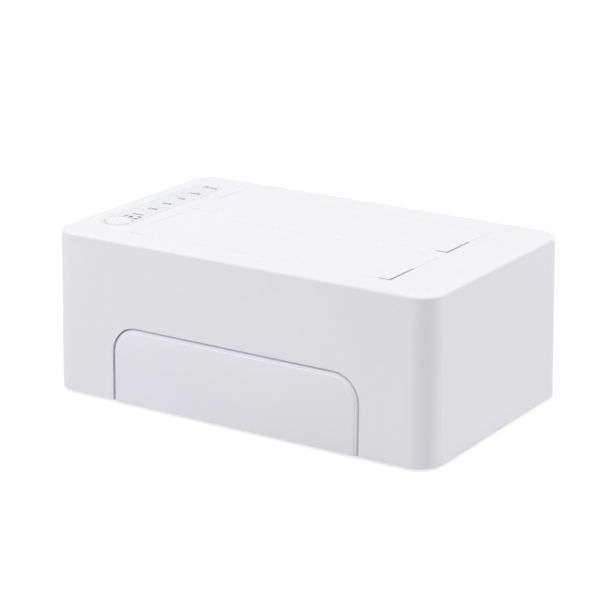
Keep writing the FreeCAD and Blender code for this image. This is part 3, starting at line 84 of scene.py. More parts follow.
class PieceSettings(bpy.types.PropertyGroup):
    """Sizes of the fine pieces"""

    ink: length("Ink", 0.02 * MM, "Thickness of the printed ink")
    mark_height: length("Mark height", 1.7 * MM, "Height of the printed numbers")
    mark_shift: length("Mark shift", 0.7 * MM, "Printed column right of the middle of the strip")
    copy_sign_height: length("Copy sign height", 3.6 * MM, "Height of the sign behind the button")
    copy_sign_lead: length("Copy sign lead", 6.4 * MM, "Sign behind the middle of the button")
    light_side: length("Light side", 2.6 * MM, "Width of one light")
    light_pitch: length("Light pitch", 8.6 * MM, "From one progress light to the next")
    button_radius: length("Button radius", 4.8 * MM, "Radius of the start button")
    spring_wire: length("Spring wire", 0.6 * MM, "Thickness of the spring wire")
    contact_pitch: length("Contact pitch", 1.27 * MM, "From one contact of a drive socket to the next")
    slot_width: length("Slot width", 2.2 * MM, "Width of the slots of a drive socket")
    slot_depth: length("Slot depth", 5.4 * MM, "Depth of the slots of a drive socket")
    power_shift: length("Power slot shift", -7.2 * MM, "Power slot from the middle of its socket")
    data_shift: length("Data slot shift", 12.3 * MM, "Data slot from the middle of its socket")
    foot_radius: length("Foot radius", 6.0 * MM, "Radius of a rubber foot")
    stop_reach: length("Stop reach", 1.2 * MM, "Stop tab beyond the end of a flap")
    hinge_reach: length("Hinge reach", 2.6 * MM, "Knuckles behind the back edge of a flap")
    notch_depth: length("Notch depth", 0.5 * MM, "Depth of the notch at a free corner of a flap")
    notch_length: length("Notch length", 15.5 * MM, "Notch along the end of a flap")
    notch_return: length("Notch return", 4.5 * MM, "Notch along the free edge of a flap")
    lip_gap: length("Lip gap", 0.1 * MM, "Between a lip of a flap and its opening")
    panel_margin: length("Panel margin", 0.6 * MM, "From the panel's edge to its proud face")
    panel_rise: length("Panel rise", 0.3 * MM, "Proud face in front of the panel")
    lip_depth: length("Lip depth", 1.9 * MM, "Lips reach this far below the top of a flap")
    lip_sink: length("Lip sink", 0.01 * MM, "Top of the lips below the top of a flap")
    lip_bite: length("Lip bite", 0.02 * MM, "Lips run this far into the flap at its notches")
    lip_lap: length("Lip lap", 0.2 * MM, "Lips run this far onto the flap at its end and back")
    lip_start: length("Lip start", 0.3 * MM, "Between the end of a notch and the lip behind it")
    flap_gap: length("Flap gap", 0.3 * MM, "Between a flap and its opening")
    strip_round: length("Strip round", 5.25 * MM, "Corner radius of the control strip")
    strip_gap: length("Strip gap", 0.15 * MM, "Between the control strip and its recess")
    button_gap: length("Button gap", 0.35 * MM, "Between the start button and its hole")


class StageSettings(bpy.types.PropertyGroup):
    """Camera and light"""

    camera_place: bpy.props.FloatVectorProperty(
        name="Camera place", description="Where the camera stands", subtype="TRANSLATION",
        unit="LENGTH", default=(0.4068, -0.6329, 0.2703))
    lens: bpy.props.FloatProperty(
        name="Lens", description="Focal length in millimetres", default=134.84)
    sky: bpy.props.FloatProperty(
        name="Sky", description="Strength of the even light from all sides", default=0.3)
    overhead: bpy.props.FloatProperty(
        name="Overhead lamp", description="Strength of the soft lamp overhead", default=1.54)
    side_lamp: bpy.props.FloatProperty(
        name="Side lamps", description="Strength of the soft lamps at the sides", default=1.195)
    left_share: bpy.props.FloatProperty(
        name="Left share", description="Share of that strength in the left lamp", default=0.81)
    right_share: bpy.props.FloatProperty(
        name="Right share", description="Share of that strength in the right lamp", default=0.97)
    left_away: length("Left lamp away", 0.8, "From the duplicator to the left lamp")
    right_away: length("Right lamp away", 1.5, "From the duplicator to the right lamp")


def finishes():
    """Return the colours and mould grain."""
    return bpy.context.scene.duplicator_finishes


def pieces():
    """Return the sizes of the fine pieces."""
    return bpy.context.scene.duplicator_pieces


def stage():
    """Return the camera and light settings."""
    return bpy.context.scene.duplicator_stage


# ---------------------------------------------------------------- shader groups

def new_group(name, inputs, outputs):
    """Start a shader node group; return it with its input and output nodes."""
    group = bpy.data.node_groups.new(name, "ShaderNodeTree")
    for label, kind, default in inputs:
        socket = group.interface.new_socket(label, in_out="INPUT", socket_type=kind)
        socket.default_value = default
    for label, kind in outputs:
        group.interface.new_socket(label, in_out="OUTPUT", socket_type=kind)
    return group, add(group, "NodeGroupInput"), add(group, "NodeGroupOutput")


def add(tree, kind, **values):
    """Add a node; set its properties and its input sockets by name."""
    node = tree.nodes.new(kind)
    for key, wanted in values.items():
        if hasattr(node, key):
            setattr(node, key, wanted)
        else:
            node.inputs[key.replace("_", " ")].default_value = wanted
    return node


def join(tree, *pairs):
    """Link pairs of sockets."""
    for start, end in pairs:
        tree.links.new(start, end)


def ramp(tree, source, low, high, bottom=0.0, top=1.0):
    """Map a value from one range to another."""
    node = add(tree, "ShaderNodeMapRange")
    for name, number in (("From Min", low), ("From Max", high), ("To Min", bottom), ("To Max", top)):
        node.inputs[name].default_value = number
    tree.links.new(source, node.inputs["Value"])
    return node.outputs["Result"]


def make_grain_group():
    """Spark-eroded mould grain: fine dimples, slow tone clouds and a rubbed shine."""
    group, given, out = new_group(
        "Moulded grain",
        [("Grain", "NodeSocketFloat", 2800.0), ("Clouds", "NodeSocketFloat", 22.0)],
        [("Height", "NodeSocketFloat"), ("Tone", "NodeSocketFloat"), ("Rub", "NodeSocketFloat")],
    )
    place = add(group, "ShaderNodeTexCoord")
    fine = add(group, "ShaderNodeTexNoise", Detail=3.0, Roughness=0.62)
    cells = add(group, "ShaderNodeTexVoronoi", feature="SMOOTH_F1", Smoothness=0.8)
    double = add(group, "ShaderNodeMath", operation="MULTIPLY")
    double.inputs[1].default_value = 0.55
    clouds = add(group, "ShaderNodeTexNoise", Detail=4.0, Roughness=0.55)
    rub = add(group, "ShaderNodeTexNoise", Detail=6.0, Roughness=0.7, Distortion=0.4)
    rub_scale = add(group, "ShaderNodeMath", operation="MULTIPLY")
    rub_scale.inputs[1].default_value = 5.5
    mixed = add(group, "ShaderNodeMath", operation="ADD")
    join(
        group,
        (place.outputs["Object"], fine.inputs["Vector"]),
        (place.outputs["Object"], cells.inputs["Vector"]),
        (place.outputs["Object"], clouds.inputs["Vector"]),
        (place.outputs["Object"], rub.inputs["Vector"]),
        (given.outputs["Grain"], fine.inputs["Scale"]),
        (given.outputs["Grain"], double.inputs[0]),
        (double.outputs[0], cells.inputs["Scale"]),
        (given.outputs["Clouds"], clouds.inputs["Scale"]),
        (given.outputs["Clouds"], rub_scale.inputs[0]),
        (rub_scale.outputs[0], rub.inputs["Scale"]),
        (fine.outputs["Fac"], mixed.inputs[0]),
        (cells.outputs["Distance"], mixed.inputs[1]),
        (mixed.outputs[0], out.inputs["Height"]),
        (ramp(group, clouds.outputs["Fac"], 0.3, 0.7), out.inputs["Tone"]),
        (ramp(group, rub.outputs["Fac"], 0.35, 0.75), out.inputs["Rub"]),
    )
    return group


def make_brushed_group():
    """Fine lines along one axis, for rolled, turned or pressed metal."""
    group, given, out = new_group(
        "Brushed lines",
        [("Stretch", "NodeSocketVector", (60.0, 4000.0, 4000.0))],
        [("Height", "NodeSocketFloat"), ("Streak", "NodeSocketFloat")],
    )
    place = add(group, "ShaderNodeTexCoord")
    scale = add(group, "ShaderNodeVectorMath", operation="MULTIPLY")
    lines = add(group, "ShaderNodeTexNoise", Scale=1.0, Detail=4.0, Roughness=0.6)
    join(
        group,
        (place.outputs["Object"], scale.inputs[0]),
        (given.outputs["Stretch"], scale.inputs[1]),
        (scale.outputs[0], lines.inputs["Vector"]),
        (lines.outputs["Fac"], out.inputs["Height"]),
        (ramp(group, lines.outputs["Fac"], 0.3, 0.7), out.inputs["Streak"]),
    )
    return group


GROUPS = {}


def placed(tree, name, **values):
    """Put one of the shared groups into a material, with its own values."""
    node = tree.nodes.new("ShaderNodeGroup")
    node.node_tree = GROUPS[name]
    for key, wanted in values.items():
        node.inputs[key].default_value = wanted
    return node


def shaded(colour_value, factor):
    """Return a colour made lighter or darker."""
    return tuple(min(1.0, channel * factor) for channel in colour_value[:3]) + (1.0,)


def blank_material(name, **values):
    """Return a material with its tree and its Principled shader."""
    material = bpy.data.materials.new(name)
    material.use_nodes = True
    tree = material.node_tree
    shader = tree.nodes["Principled BSDF"]
    for key, wanted in values.items():
        shader.inputs[key.replace("_", " ")].default_value = wanted
    return material, tree, shader


def tint(tree, shader, mask, dark, light):
    """Blend two colours by a mask into the base colour."""
    blend = add(tree, "ShaderNodeMix", data_type="RGBA")
    blend.inputs["A"].default_value = dark
    blend.inputs["B"].default_value = light
    join(tree, (mask, blend.inputs["Factor"]), (blend.outputs["Result"], shader.inputs["Base Color"]))


def bump(tree, shader, height, strength, distance):
    """Raise the surface by a height pattern."""
    node = add(tree, "ShaderNodeBump", Strength=strength, Distance=distance)
    join(tree, (height, node.inputs["Height"]), (node.outputs["Normal"], shader.inputs["Normal"]))


def moulded(name, base, grain=2800.0, depth=0.00003, rough=(0.42, 0.55), variation=0.012, **values):
    """Moulded plastic with mould grain."""
    material, tree, shader = blank_material(name, IOR=1.46, **values)
    pattern = placed(tree, "Moulded grain", Grain=grain, Clouds=22.0)
    tint(tree, shader, pattern.outputs["Tone"], shaded(base, 1 - variation), shaded(base, 1 + variation))
    join(tree, (ramp(tree, pattern.outputs["Rub"], 0.0, 1.0, *rough), shader.inputs["Roughness"]))
    bump(tree, shader, pattern.outputs["Height"], 0.55, depth)
    return material


def metal(name, base, rough=(0.22, 0.38), stretch=(60.0, 4000.0, 4000.0), depth=0.000008):
    """Drawn or pressed metal with fine lines."""
    material, tree, shader = blank_material(name, Metallic=1.0)
    lines = placed(tree, "Brushed lines", Stretch=stretch)
    tint(tree, shader, lines.outputs["Streak"], shaded(base, 0.86), shaded(base, 1.05))
    join(tree, (ramp(tree, lines.outputs["Streak"], 0.0, 1.0, *rough), shader.inputs["Roughness"]))
    bump(tree, shader, lines.outputs["Height"], 0.4, depth)
    return material


def make_board_material():
    """Solder mask over a weave, with copper tracks showing through as raised lines."""
    material, tree, shader = blank_material("board_green", IOR=1.5, Coat_Weight=0.35, Coat_Roughness=0.12)
    place = add(tree, "ShaderNodeTexCoord")
    weave = add(tree, "ShaderNodeTexVoronoi", Scale=900.0, Randomness=0.0, distance="CHEBYCHEV")
    tracks = add(tree, "ShaderNodeTexBrick", Scale=210.0, Mortar_Size=0.14, Mortar_Smooth=0.2)
    tracks.inputs["Brick Width"].default_value = 1.9
    tracks.inputs["Row Height"].default_value = 0.32
    tint(tree, shader, tracks.outputs["Fac"], (0.012, 0.11, 0.045, 1.0), (0.03, 0.2, 0.085, 1.0))
    join(
        tree,
        (place.outputs["Object"], weave.inputs["Vector"]),
        (place.outputs["Object"], tracks.inputs["Vector"]),
        (ramp(tree, weave.outputs["Distance"], 0.0, 0.6, 0.3, 0.42), shader.inputs["Roughness"]),
    )
    bump(tree, shader, tracks.outputs["Fac"], 0.6, 0.00004)
    return material


def make_clear_material():
    """Frosted light pipe."""
    material, tree, shader = blank_material(
        "light_clear", IOR=1.49, Transmission_Weight=0.35, Roughness=0.3,
        Base_Color=(0.86, 0.9, 0.93, 1.0))
    pattern = placed(tree, "Moulded grain", Grain=4200.0, Clouds=60.0)
    join(tree, (ramp(tree, pattern.outputs["Rub"], 0.0, 1.0, 0.24, 0.4), shader.inputs["Roughness"]))
    bump(tree, shader, pattern.outputs["Height"], 0.25, 0.00001)
    return material


def painted_shade(material, mask, shade_colour):
    """Multiply a material's base colour by a colour of painted shade where the mask is 1."""
    tree = material.node_tree
    shader = tree.nodes["Principled BSDF"]
    unshaded = shader.inputs["Base Color"].links[0].from_socket
    # Painted shade: this blend darkens the base colour where the mask is 1, standing in for shadow.
    blend = add(tree, "ShaderNodeMix", data_type="RGBA", blend_type="MULTIPLY")
    blend.inputs["B"].default_value = shade_colour
    join(
        tree,
        (mask, blend.inputs["Factor"]),
        (unshaded, blend.inputs["A"]),
        (blend.outputs["Result"], shader.inputs["Base Color"]),
    )
    return material


def make_flap_material(base, case):
    """Moulded plastic with painted shade on the upright walls of the notch at each flap's right-hand front
    corner, darkest at the corner; the notch's own depth adds real shadow there.
    """
    material = moulded("flap_white", base, **case)
    tree = material.node_tree
    sizes = pieces()
    reach_x = sizes.notch_return * 1.3
    reach_y = sizes.notch_length * 1.1
    place = add(tree, "ShaderNodeTexCoord")
    geometry = add(tree, "ShaderNodeNewGeometry")
    split = add(tree, "ShaderNodeSeparateXYZ")
    nearest = add(tree, "ShaderNodeMath", operation="MINIMUM")
    join(tree, (geometry.outputs["Normal"], split.inputs[0]))
    for index, side in enumerate(("front", "rear")):
        low, high, _ = middle_of(f"{side}_bay_flap")
        offset = add(tree, "ShaderNodeVectorMath", operation="SUBTRACT")
        offset.inputs[1].default_value = (high.x - sizes.stop_reach - sizes.notch_depth, low.y, 0)
        scale = add(tree, "ShaderNodeVectorMath", operation="MULTIPLY")
        scale.inputs[1].default_value = (1 / reach_x, 1 / reach_y, 0)
        reach = add(tree, "ShaderNodeVectorMath", operation="LENGTH")
        join(tree, (place.outputs["Object"], offset.inputs[0]), (offset.outputs[0], scale.inputs[0]),
             (scale.outputs[0], reach.inputs[0]), (reach.outputs["Value"], nearest.inputs[index]))
    # Painted shade mask: strongest at each flap's notched corner and only on upright walls.
    mask = add(tree, "ShaderNodeMath", operation="MULTIPLY")
    join(
        tree,
        (ramp(tree, nearest.outputs[0], 0.0, 1.0, 1.0, 0.15), mask.inputs[0]),
        (ramp(tree, split.outputs["Z"], 0.3, 0.6, 1.0, 0.0), mask.inputs[1]),
    )
    # Painted shade colour that darkens the notch walls.
    return painted_shade(material, mask.outputs[0], (0.6, 0.6, 0.61, 1.0))


def make_panel_material(base, case):
    """Moulded plastic with painted shade just behind its front face, darkening the walls of the joint around
    it on top of the joint's real shadow.
    """
    material = moulded("panel_white", base, **case)
    tree = material.node_tree
    ahead = [face for face in NODES["front_panel"].data.polygons if face.normal.y < -0.9]
    front = max(ahead, key=lambda face: face.area)
    place = add(tree, "ShaderNodeTexCoord")
    offset = add(tree, "ShaderNodeVectorMath", operation="SUBTRACT")
    offset.inputs[1].default_value = front.center
    depth = add(tree, "ShaderNodeVectorMath", operation="DOT_PRODUCT")
    depth.inputs[1].default_value = front.normal
    join(tree, (place.outputs["Object"], offset.inputs[0]), (offset.outputs[0], depth.inputs[0]))
    # Painted shade mask: full from 0.4 mm behind the front face, fading out by 0.1 mm behind it.
    mask = ramp(tree, depth.outputs["Value"], -0.4 * MM, -0.1 * MM, 1.0, 0.0)
    # Painted shade colour that darkens the joint walls.
    return painted_shade(material, mask, (0.72, 0.72, 0.73, 1.0))


def make_materials():
    """Build every finish; return them by material slot."""
    GROUPS["Moulded grain"] = make_grain_group()
    GROUPS["Brushed lines"] = make_brushed_group()
    hues = finishes()
    grain = 1.0 / hues.grain_size
    depth = hues.grain_depth
    case = dict(grain=grain, depth=depth)
    return {
        "case_white": moulded("case_white", hues.case, **case),
        "panel_white": make_panel_material(hues.panel, case),
        "flap_white": make_flap_material(hues.flap, case),
        "strip_white": moulded("strip_white", hues.strip, depth=depth / 4, rough=(0.16, 0.26),
                               Coat_Weight=0.2, Coat_Roughness=0.1),
        "button_white": moulded("button_white", (0.87, 0.87, 0.885, 1), depth=depth / 3, rough=(0.25, 0.35)),
        "guide_white": moulded("guide_white", hues.guide, **case),
        "socket_black": moulded("socket_black", (0.025, 0.025, 0.027, 1), rough=(0.4, 0.55), variation=0.15),
        "switch_black": moulded("switch_black", (0.03, 0.03, 0.032, 1), rough=(0.3, 0.45), variation=0.12),
        "port_metal": metal("port_metal", (0.72, 0.72, 0.7, 1)),
        "bright_steel": metal("bright_steel", (0.66, 0.66, 0.67, 1), stretch=(60.0, 5000.0, 5000.0)),
        "screw_steel": metal("screw_steel", (0.42, 0.42, 0.43, 1), rough=(0.25, 0.45),
                             stretch=(2500.0, 2500.0, 60.0)),
        "board_green": make_board_material(),
        "chip_black": moulded("chip_black", (0.02, 0.02, 0.022, 1), grain=5200.0, rough=(0.5, 0.65)),
        "can_metal": metal("can_metal", (0.75, 0.75, 0.76, 1), stretch=(2500.0, 2500.0, 80.0)),
        "light_clear": make_clear_material(),
        "header_ivory": moulded("header_ivory", (0.68, 0.63, 0.52, 1), rough=(0.35, 0.5)),
        "cable_grey": moulded("cable_grey", (0.32, 0.33, 0.35, 1), rough=(0.4, 0.55)),
        "rubber_black": moulded("rubber_black", (0.035, 0.035, 0.037, 1), grain=3800.0, rough=(0.75, 0.9)),
        "light_window": moulded("light_window", shaded(hues.strip, 1.02), depth=depth / 8, rough=(0.2, 0.3)),
        "printed_ink": moulded("printed_ink", hues.mark, depth=depth / 8, rough=(0.45, 0.6), variation=0.06),
        "contact_metal": metal("contact_metal", (0.74, 0.62, 0.38, 1), stretch=(4000.0, 4000.0, 60.0)),
    }


MATERIALS = {}


# ---------------------------------------------------------------- operators

class DUPLICATOR_OT_finishes(bpy.types.Operator):
    """Give every solid of the duplicator its finish and its smooth shading"""

    bl_idname = "duplicator.finishes"
    bl_label = "Finishes"

    def execute(self, context):
        MATERIALS.update(make_materials())
        smoothing = make_smoothing_group()
        for node in NODES.values():
            for slot in node.material_slots:
                slot.material = MATERIALS[slot.material.name.split(".")[0]]
            add_smoothing(node, smoothing)
        return {"FINISHED"}


def make_smoothing_group():
    """Geometry nodes that merge loose triangles and smooth shallow edges."""
    group = bpy.data.node_groups.new("Smooth shallow edges", "GeometryNodeTree")
    group.interface.new_socket("Geometry", in_out="INPUT", socket_type="NodeSocketGeometry")
    group.interface.new_socket("Geometry", in_out="OUTPUT", socket_type="NodeSocketGeometry")
    given = add(group, "NodeGroupInput")
    out = add(group, "NodeGroupOutput")
    merge = add(group, "GeometryNodeMergeByDistance", Distance=0.000002)
    faces = add(group, "GeometryNodeSetShadeSmooth", domain="FACE")
    edges = add(group, "GeometryNodeSetShadeSmooth", domain="EDGE")
    edges.inputs["Shade Smooth"].default_value = False
    angle = add(group, "GeometryNodeInputMeshEdgeAngle")
    steep = add(group, "FunctionNodeCompare", data_type="FLOAT", operation="GREATER_THAN")
    steep.inputs[1].default_value = math.radians(32)
    join(
        group,
        (given.outputs[0], merge.inputs["Geometry"]),
        (merge.outputs["Geometry"], faces.inputs["Geometry"]),
        (faces.outputs["Geometry"], edges.inputs["Geometry"]),
        (angle.outputs["Unsigned Angle"], steep.inputs[0]),
        (steep.outputs[0], edges.inputs["Selection"]),
        (edges.outputs["Geometry"], out.inputs[0]),
    )
    return group


def add_smoothing(node, group):
    """Merge and smooth a solid's facets; broad faces keep their flatness."""
    merge = node.modifiers.new("Smooth shallow edges", "NODES")
    merge.node_group = group
    weigh = node.modifiers.new("Flat broad faces", "WEIGHTED_NORMAL")
    weigh.keep_sharp = True
    weigh.weight = 100


# ---------------------------------------------------------------- modelling helpers

def lone(piece):
    """Select one object and make it the active one."""
    bpy.ops.object.select_all(action="DESELECT")
    piece.select_set(True)
    bpy.context.view_layer.objects.active = piece


def fix_place():
    """Bring the place, turn and scale of what is selected into its mesh."""
    bpy.ops.object.transform_apply(location=True, rotation=True, scale=True)


def discard(piece):
    """Delete a piece that has done its work."""
    lone(piece)
    bpy.ops.object.delete()


def begin(primitive, **values):
    """Add a primitive at its size and place, with its place in its mesh."""
    bpy.ops.object.select_all(action="DESELECT")
    primitive(**values)
    fix_place()
    return bpy.context.object


def block(middle, size):
    """Start a piece from a box."""
    return begin(bpy.ops.mesh.primitive_cube_add, size=1, location=middle, scale=size)


def shape(piece, kind, test, *steps):
    """Pick faces by centre and normal, or edges by their ends, and run edit operators on them."""
    lone(piece)
    bpy.ops.object.mode_set(mode="EDIT")
    bpy.ops.mesh.select_mode(type=kind)
    bpy.ops.mesh.select_all(action="DESELECT")
    bpy.ops.object.mode_set(mode="OBJECT")
    if kind == "FACE":
        for face in piece.data.polygons:
            face.select = test(face.center, face.normal)
    else:
        points = [vertex.co for vertex in piece.data.vertices]
        for edge in piece.data.edges:
            edge.select = test(points[edge.vertices[0]], points[edge.vertices[1]])
    bpy.ops.object.mode_set(mode="EDIT")
    for operator, values in steps:
        operator(**values)
    bpy.ops.object.mode_set(mode="OBJECT")
    return piece


def every(first, second):
    """Test that picks every face or edge."""
    return True


def push(*value):
    """Edit step: extrude the picked faces by a distance."""
    return bpy.ops.mesh.extrude_region_move, {"TRANSFORM_OT_translate": {"value": value}}


def inset(thickness):
    """Edit step: draw the picked faces in."""
    return bpy.ops.mesh.inset, {"thickness": thickness}


def bevel(offset, segments, affect="EDGES"):
    """Edit step: round or cut off the picked edges or corners."""
    return bpy.ops.mesh.bevel, {"offset": offset, "segments": segments, "affect": affect}


def resize(value, centre):
    """Edit step: scale what is picked about a point."""
    return bpy.ops.transform.resize, {"value": value, "center_override": centre}


def weld(threshold):
    """Edit step: merge picked corners that lie together."""
    return bpy.ops.mesh.remove_doubles, {"threshold": threshold}


DROP_FACES = (bpy.ops.mesh.delete, {"type": "FACE"})
INVERT_PICK = (bpy.ops.mesh.select_all, {"action": "INVERT"})


def apply_modifier(piece, kind, **values):
    """Add a modifier, set it and apply it."""
    lone(piece)
    modifier = piece.modifiers.new("Shaping", kind)
    for key, wanted in values.items():
        setattr(modifier, key, wanted)
    bpy.ops.object.modifier_apply(modifier=modifier.name)
    return piece


def soften(piece, width, segments=2):
    """Round the sharp edges of a piece."""
    return apply_modifier(piece, "BEVEL", width=width, segments=segments, limit_method="ANGLE",
                          angle_limit=math.radians(40))


def repeat(piece, count, step):
    """Repeat a piece in a row."""
    return apply_modifier(piece, "ARRAY", count=count, use_relative_offset=False,
                          use_constant_offset=True, constant_offset_displace=step)


def turned(start, radius, steps, sides=32, along_y=False):
    """Turn a piece on the lathe: each step gives how far it grows and the radius it ends at."""
    tilt = (-math.pi / 2, 0, 0) if along_y else (0, 0, 0)
    piece = begin(bpy.ops.mesh.primitive_circle_add, vertices=sides, radius=radius, fill_type="NGON",
                  location=start, rotation=tilt)
    moves = []
    for reach, wanted in steps:
        factor = wanted / radius
        scale = (factor, 1, factor) if along_y else (factor, factor, 1)
        moves.append(push(0, reach, 0) if along_y else push(0, 0, reach))
        moves.append(resize(scale, start))
        radius = wanted
    shape(piece, "FACE", every, *moves)
    return tidy_normals(piece)


def tidy_normals(piece):
    """Merge doubles and point all faces outwards."""
    return shape(piece, "FACE", every,
                 (bpy.ops.mesh.select_all, {"action": "SELECT"}),
                 weld(1e-7),
                 (bpy.ops.mesh.normals_make_consistent, {"inside": False}))


def copies(piece, shifts):
    """Copy a piece, each copy with its own mesh moved by its shift; return all of them."""
    made = [piece]
    for shift in shifts:
        lone(piece)
        bpy.ops.object.duplicate(linked=False)
        bpy.ops.transform.translate(value=shift)
        fix_place()
        made.append(bpy.context.object)
    return made


def quarter_turns(piece, centre):
    """Copy a piece to the other three sides of a square; return all four."""
    made = [piece]
    for turn in (1, 2, 3):
        lone(piece)
        bpy.ops.object.duplicate(linked=False)
        bpy.ops.transform.rotate(value=turn * math.pi / 2, orient_axis="Z", center_override=centre)
        fix_place()
        made.append(bpy.context.object)
    return made


def merged(pieces):
    """Join pieces into one object."""
    bpy.ops.object.select_all(action="DESELECT")
    for piece in pieces:
        piece.select_set(True)
    bpy.context.view_layer.objects.active = pieces[0]
    bpy.ops.object.join()
    return bpy.context.object


def settle(piece, name, slot_name, body="housing", finish=None):
    """Name a piece, smooth it, give it its finish and let it ride on its body."""
    lone(piece)
    piece.name = name
    piece.data.name = name
    bpy.ops.object.shade_smooth_by_angle(angle=math.radians(35))
    piece.data.materials.clear()
    piece.data.materials.append(MATERIALS[finish or slot_name])
    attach(piece, body)
    return piece


def faces(direction):
    """Return a test for the faces that look along a direction."""
    return lambda centre, normal: normal.dot(Vector(direction)) > 0.9


def middle_of(node):
    """Return the lowest corner, the highest corner and the middle of a node."""
    low, high = (Vector(corner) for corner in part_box(node))
    return low, high, (low + high) / 2


def corner_places(node, inset_x, inset_y):
    """Return the places along X and Y of four like things near the corners of a node's box."""
    low, high, _ = middle_of(node)
    return [(x, y) for x in (low.x + inset_x, high.x - inset_x) for y in (low.y + inset_y, high.y - inset_y)]


# ---------------------------------------------------------------- control strip

def printed(text, middle, height):
    """Print a text on the strip, to be read from the front."""
    bpy.ops.object.select_all(action="DESELECT")
    bpy.ops.object.text_add(location=(0, 0, 0))
    letters = bpy.context.object
    letters.data.body = text
    letters.data.size = height / 0.7
    letters.data.extrude = pieces().ink / 2
    letters.data.resolution_u = 3
    letters.data.align_x = "CENTER"
    letters.data.align_y = "CENTER"
    bpy.ops.object.convert(target="MESH")
    bpy.ops.transform.translate(value=middle)
    fix_place()
    return bpy.context.object


def ink_block(middle, size_x, size_y):
    """Print a small bar with rounded ends."""
    bar = block(middle, (size_x, size_y, pieces().ink))
    return shape(bar, "EDGE", lambda a, b: abs(a.z - b.z) > pieces().ink / 2,
                 bevel(min(size_x, size_y) * 0.3, 3))


def ink_arc(middle, radius, width, start, sweep, steps=24):
    """Print part of a ring by spinning a small square of ink."""
    place = middle + Vector((radius * math.cos(start), radius * math.sin(start), 0))
    bit = begin(bpy.ops.mesh.primitive_plane_add, size=width, location=place, rotation=(0, 0, start))
    side = Vector((-math.sin(start), math.cos(start), 0))
    shape(bit, "EDGE", lambda a, b: min((a - place).dot(side), (b - place).dot(side)) > width / 4,
          (bpy.ops.mesh.spin, {"steps": steps, "angle": sweep, "center": middle, "axis": (0, 0, 1)}))
    apply_modifier(bit, "SOLIDIFY", thickness=pieces().ink, offset=0)
    return tidy_normals(bit)


class DUPLICATOR_OT_marks(bpy.types.Operator):
    """Print plain numbers and signs on the control strip"""

    bl_idname = "duplicator.marks"
    bl_label = "Printed marks"

    def execute(self, context):
        sizes = pieces()
        low, high, middle = middle_of("indicator_strip")
        lights_low, lights_high, lights = middle_of("status_lights")
        top = high.z + sizes.ink / 2
        column = middle.x + sizes.mark_shift
        first = lights_low.y + sizes.light_side / 2
        prints = []
        for step, text in enumerate(("25%", "50%", "75%", "100%")):
            place = Vector((column, first + step * sizes.light_pitch, top))
            prints.append(printed(text, place, sizes.mark_height))
        power = Vector((column - 1.9 * MM, lights_high.y - sizes.light_side / 2, top))
        radius = sizes.mark_height * 0.6
        for index in range(3):
            dash = power + Vector(((2.6 + index * 1.1) * MM, -0.45 * MM, 0))
            prints.append(ink_block(dash, 0.8 * MM, 0.35 * MM))
        prints.append(ink_block(power + Vector((3.7 * MM, 0.45 * MM, 0)), 3.0 * MM, 0.4 * MM))
        prints.append(ink_arc(power, radius, radius * 0.3, math.radians(125), math.radians(290)))
        prints.append(ink_block(power + Vector((0, radius * 0.75, 0)), radius * 0.3, radius * 0.95))
        button = middle_of("start_button")[2]
        sign = Vector((column, button.y + sizes.copy_sign_lead, top))
        for side, text in ((-1, "1"), (1, "2")):
            shift = Vector((side * sizes.copy_sign_height * 0.74, 0, 0))
            prints.append(printed(text, sign + shift, sizes.copy_sign_height))
        prints.append(ink_arrow(sign, sizes.copy_sign_height))
        prints.append(ink_block(sign + Vector((0, sizes.copy_sign_height * 1.15, 0)), 4.6 * MM, 0.55 * MM))
        settle(merged(prints), "printed_marks", "chip_black", finish="printed_ink")
        windows = []
        for place_y in [first + step * sizes.light_pitch for step in range(4)] + [power.y]:
            start = Vector((lights.x, place_y, high.z - 0.05 * MM))
            windows.append(turned(start, 0.95 * MM, ((0.05 * MM, 0.95 * MM), (0.02 * MM, 0.85 * MM),
                                                     (0.01 * MM, 0.5 * MM)), sides=24))
        settle(merged(windows), "light_windows", "light_clear", finish="light_window")
        make_strip_gasket(low, high, middle)
        return {"FINISHED"}


def make_strip_gasket(low, high, middle):
    """Thin frame that closes the gap around the strip."""
    gap = pieces().strip_gap * 0.95
    size = (high.x - low.x + 2 * gap, high.y - low.y + 2 * gap)
    frame_top = high.z - 0.05 * MM
    gasket = begin(bpy.ops.mesh.primitive_plane_add, size=1, location=(middle.x, middle.y, low.z))
    bpy.ops.transform.resize(value=(*size, 1), center_override=(middle.x, middle.y, low.z))
    fix_place()
    shape(gasket, "EDGE", every, bevel(pieces().strip_round + gap, 12, "VERTICES"))
    shape(gasket, "FACE", faces((0, 0, 1)), inset(gap), DROP_FACES)
    shape(gasket, "FACE", every, push(0, 0, frame_top - low.z))
    settle(tidy_normals(gasket), "strip_gasket", "case_white")


def ink_arrow(middle, height):
    """Print a solid arrow head that points to the right."""
    arrow = block(middle, (height * 0.5, height * 0.72, pieces().ink))
    return shape(arrow, "FACE", faces((1, 0, 0)),
                 resize((1, 0.08, 1), middle))


class DUPLICATOR_OT_button(bpy.types.Operator):
    """Mould the start button: a dished cap with a soft rim on a square flange"""

    bl_idname = "duplicator.button"
    bl_label = "Start button"

    def execute(self, context):
        low, high, middle = middle_of("start_button")
        radius = pieces().button_radius
        flange_height = 1.2 * MM
        flange = block((middle.x, middle.y, low.z + flange_height / 2),
                       (high.x - low.x, high.y - low.y, flange_height))
        soften(flange, 0.25 * MM)
        start = Vector((middle.x, middle.y, low.z + flange_height / 2))
        rise = high.z - start.z - 0.4 * MM
        rim = [(rise, radius), (0.17 * MM, radius - 0.04 * MM), (0.13 * MM, radius - 0.14 * MM),
               (0.07 * MM, radius - 0.3 * MM), (0.03 * MM, radius - 0.5 * MM)]
        dish = [(-0.05 * MM, radius * 0.72), (-0.07 * MM, radius * 0.5), (-0.05 * MM, radius * 0.3),
                (-0.02 * MM, radius * 0.12)]
        cap = turned(start, radius, rim + dish, sides=64)
        button = settle(merged([cap, flange]), "start_button_cap", "button_white", "start_button")
        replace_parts(button, "start_button")
        make_button_collar(middle, radius)
        return {"FINISHED"}


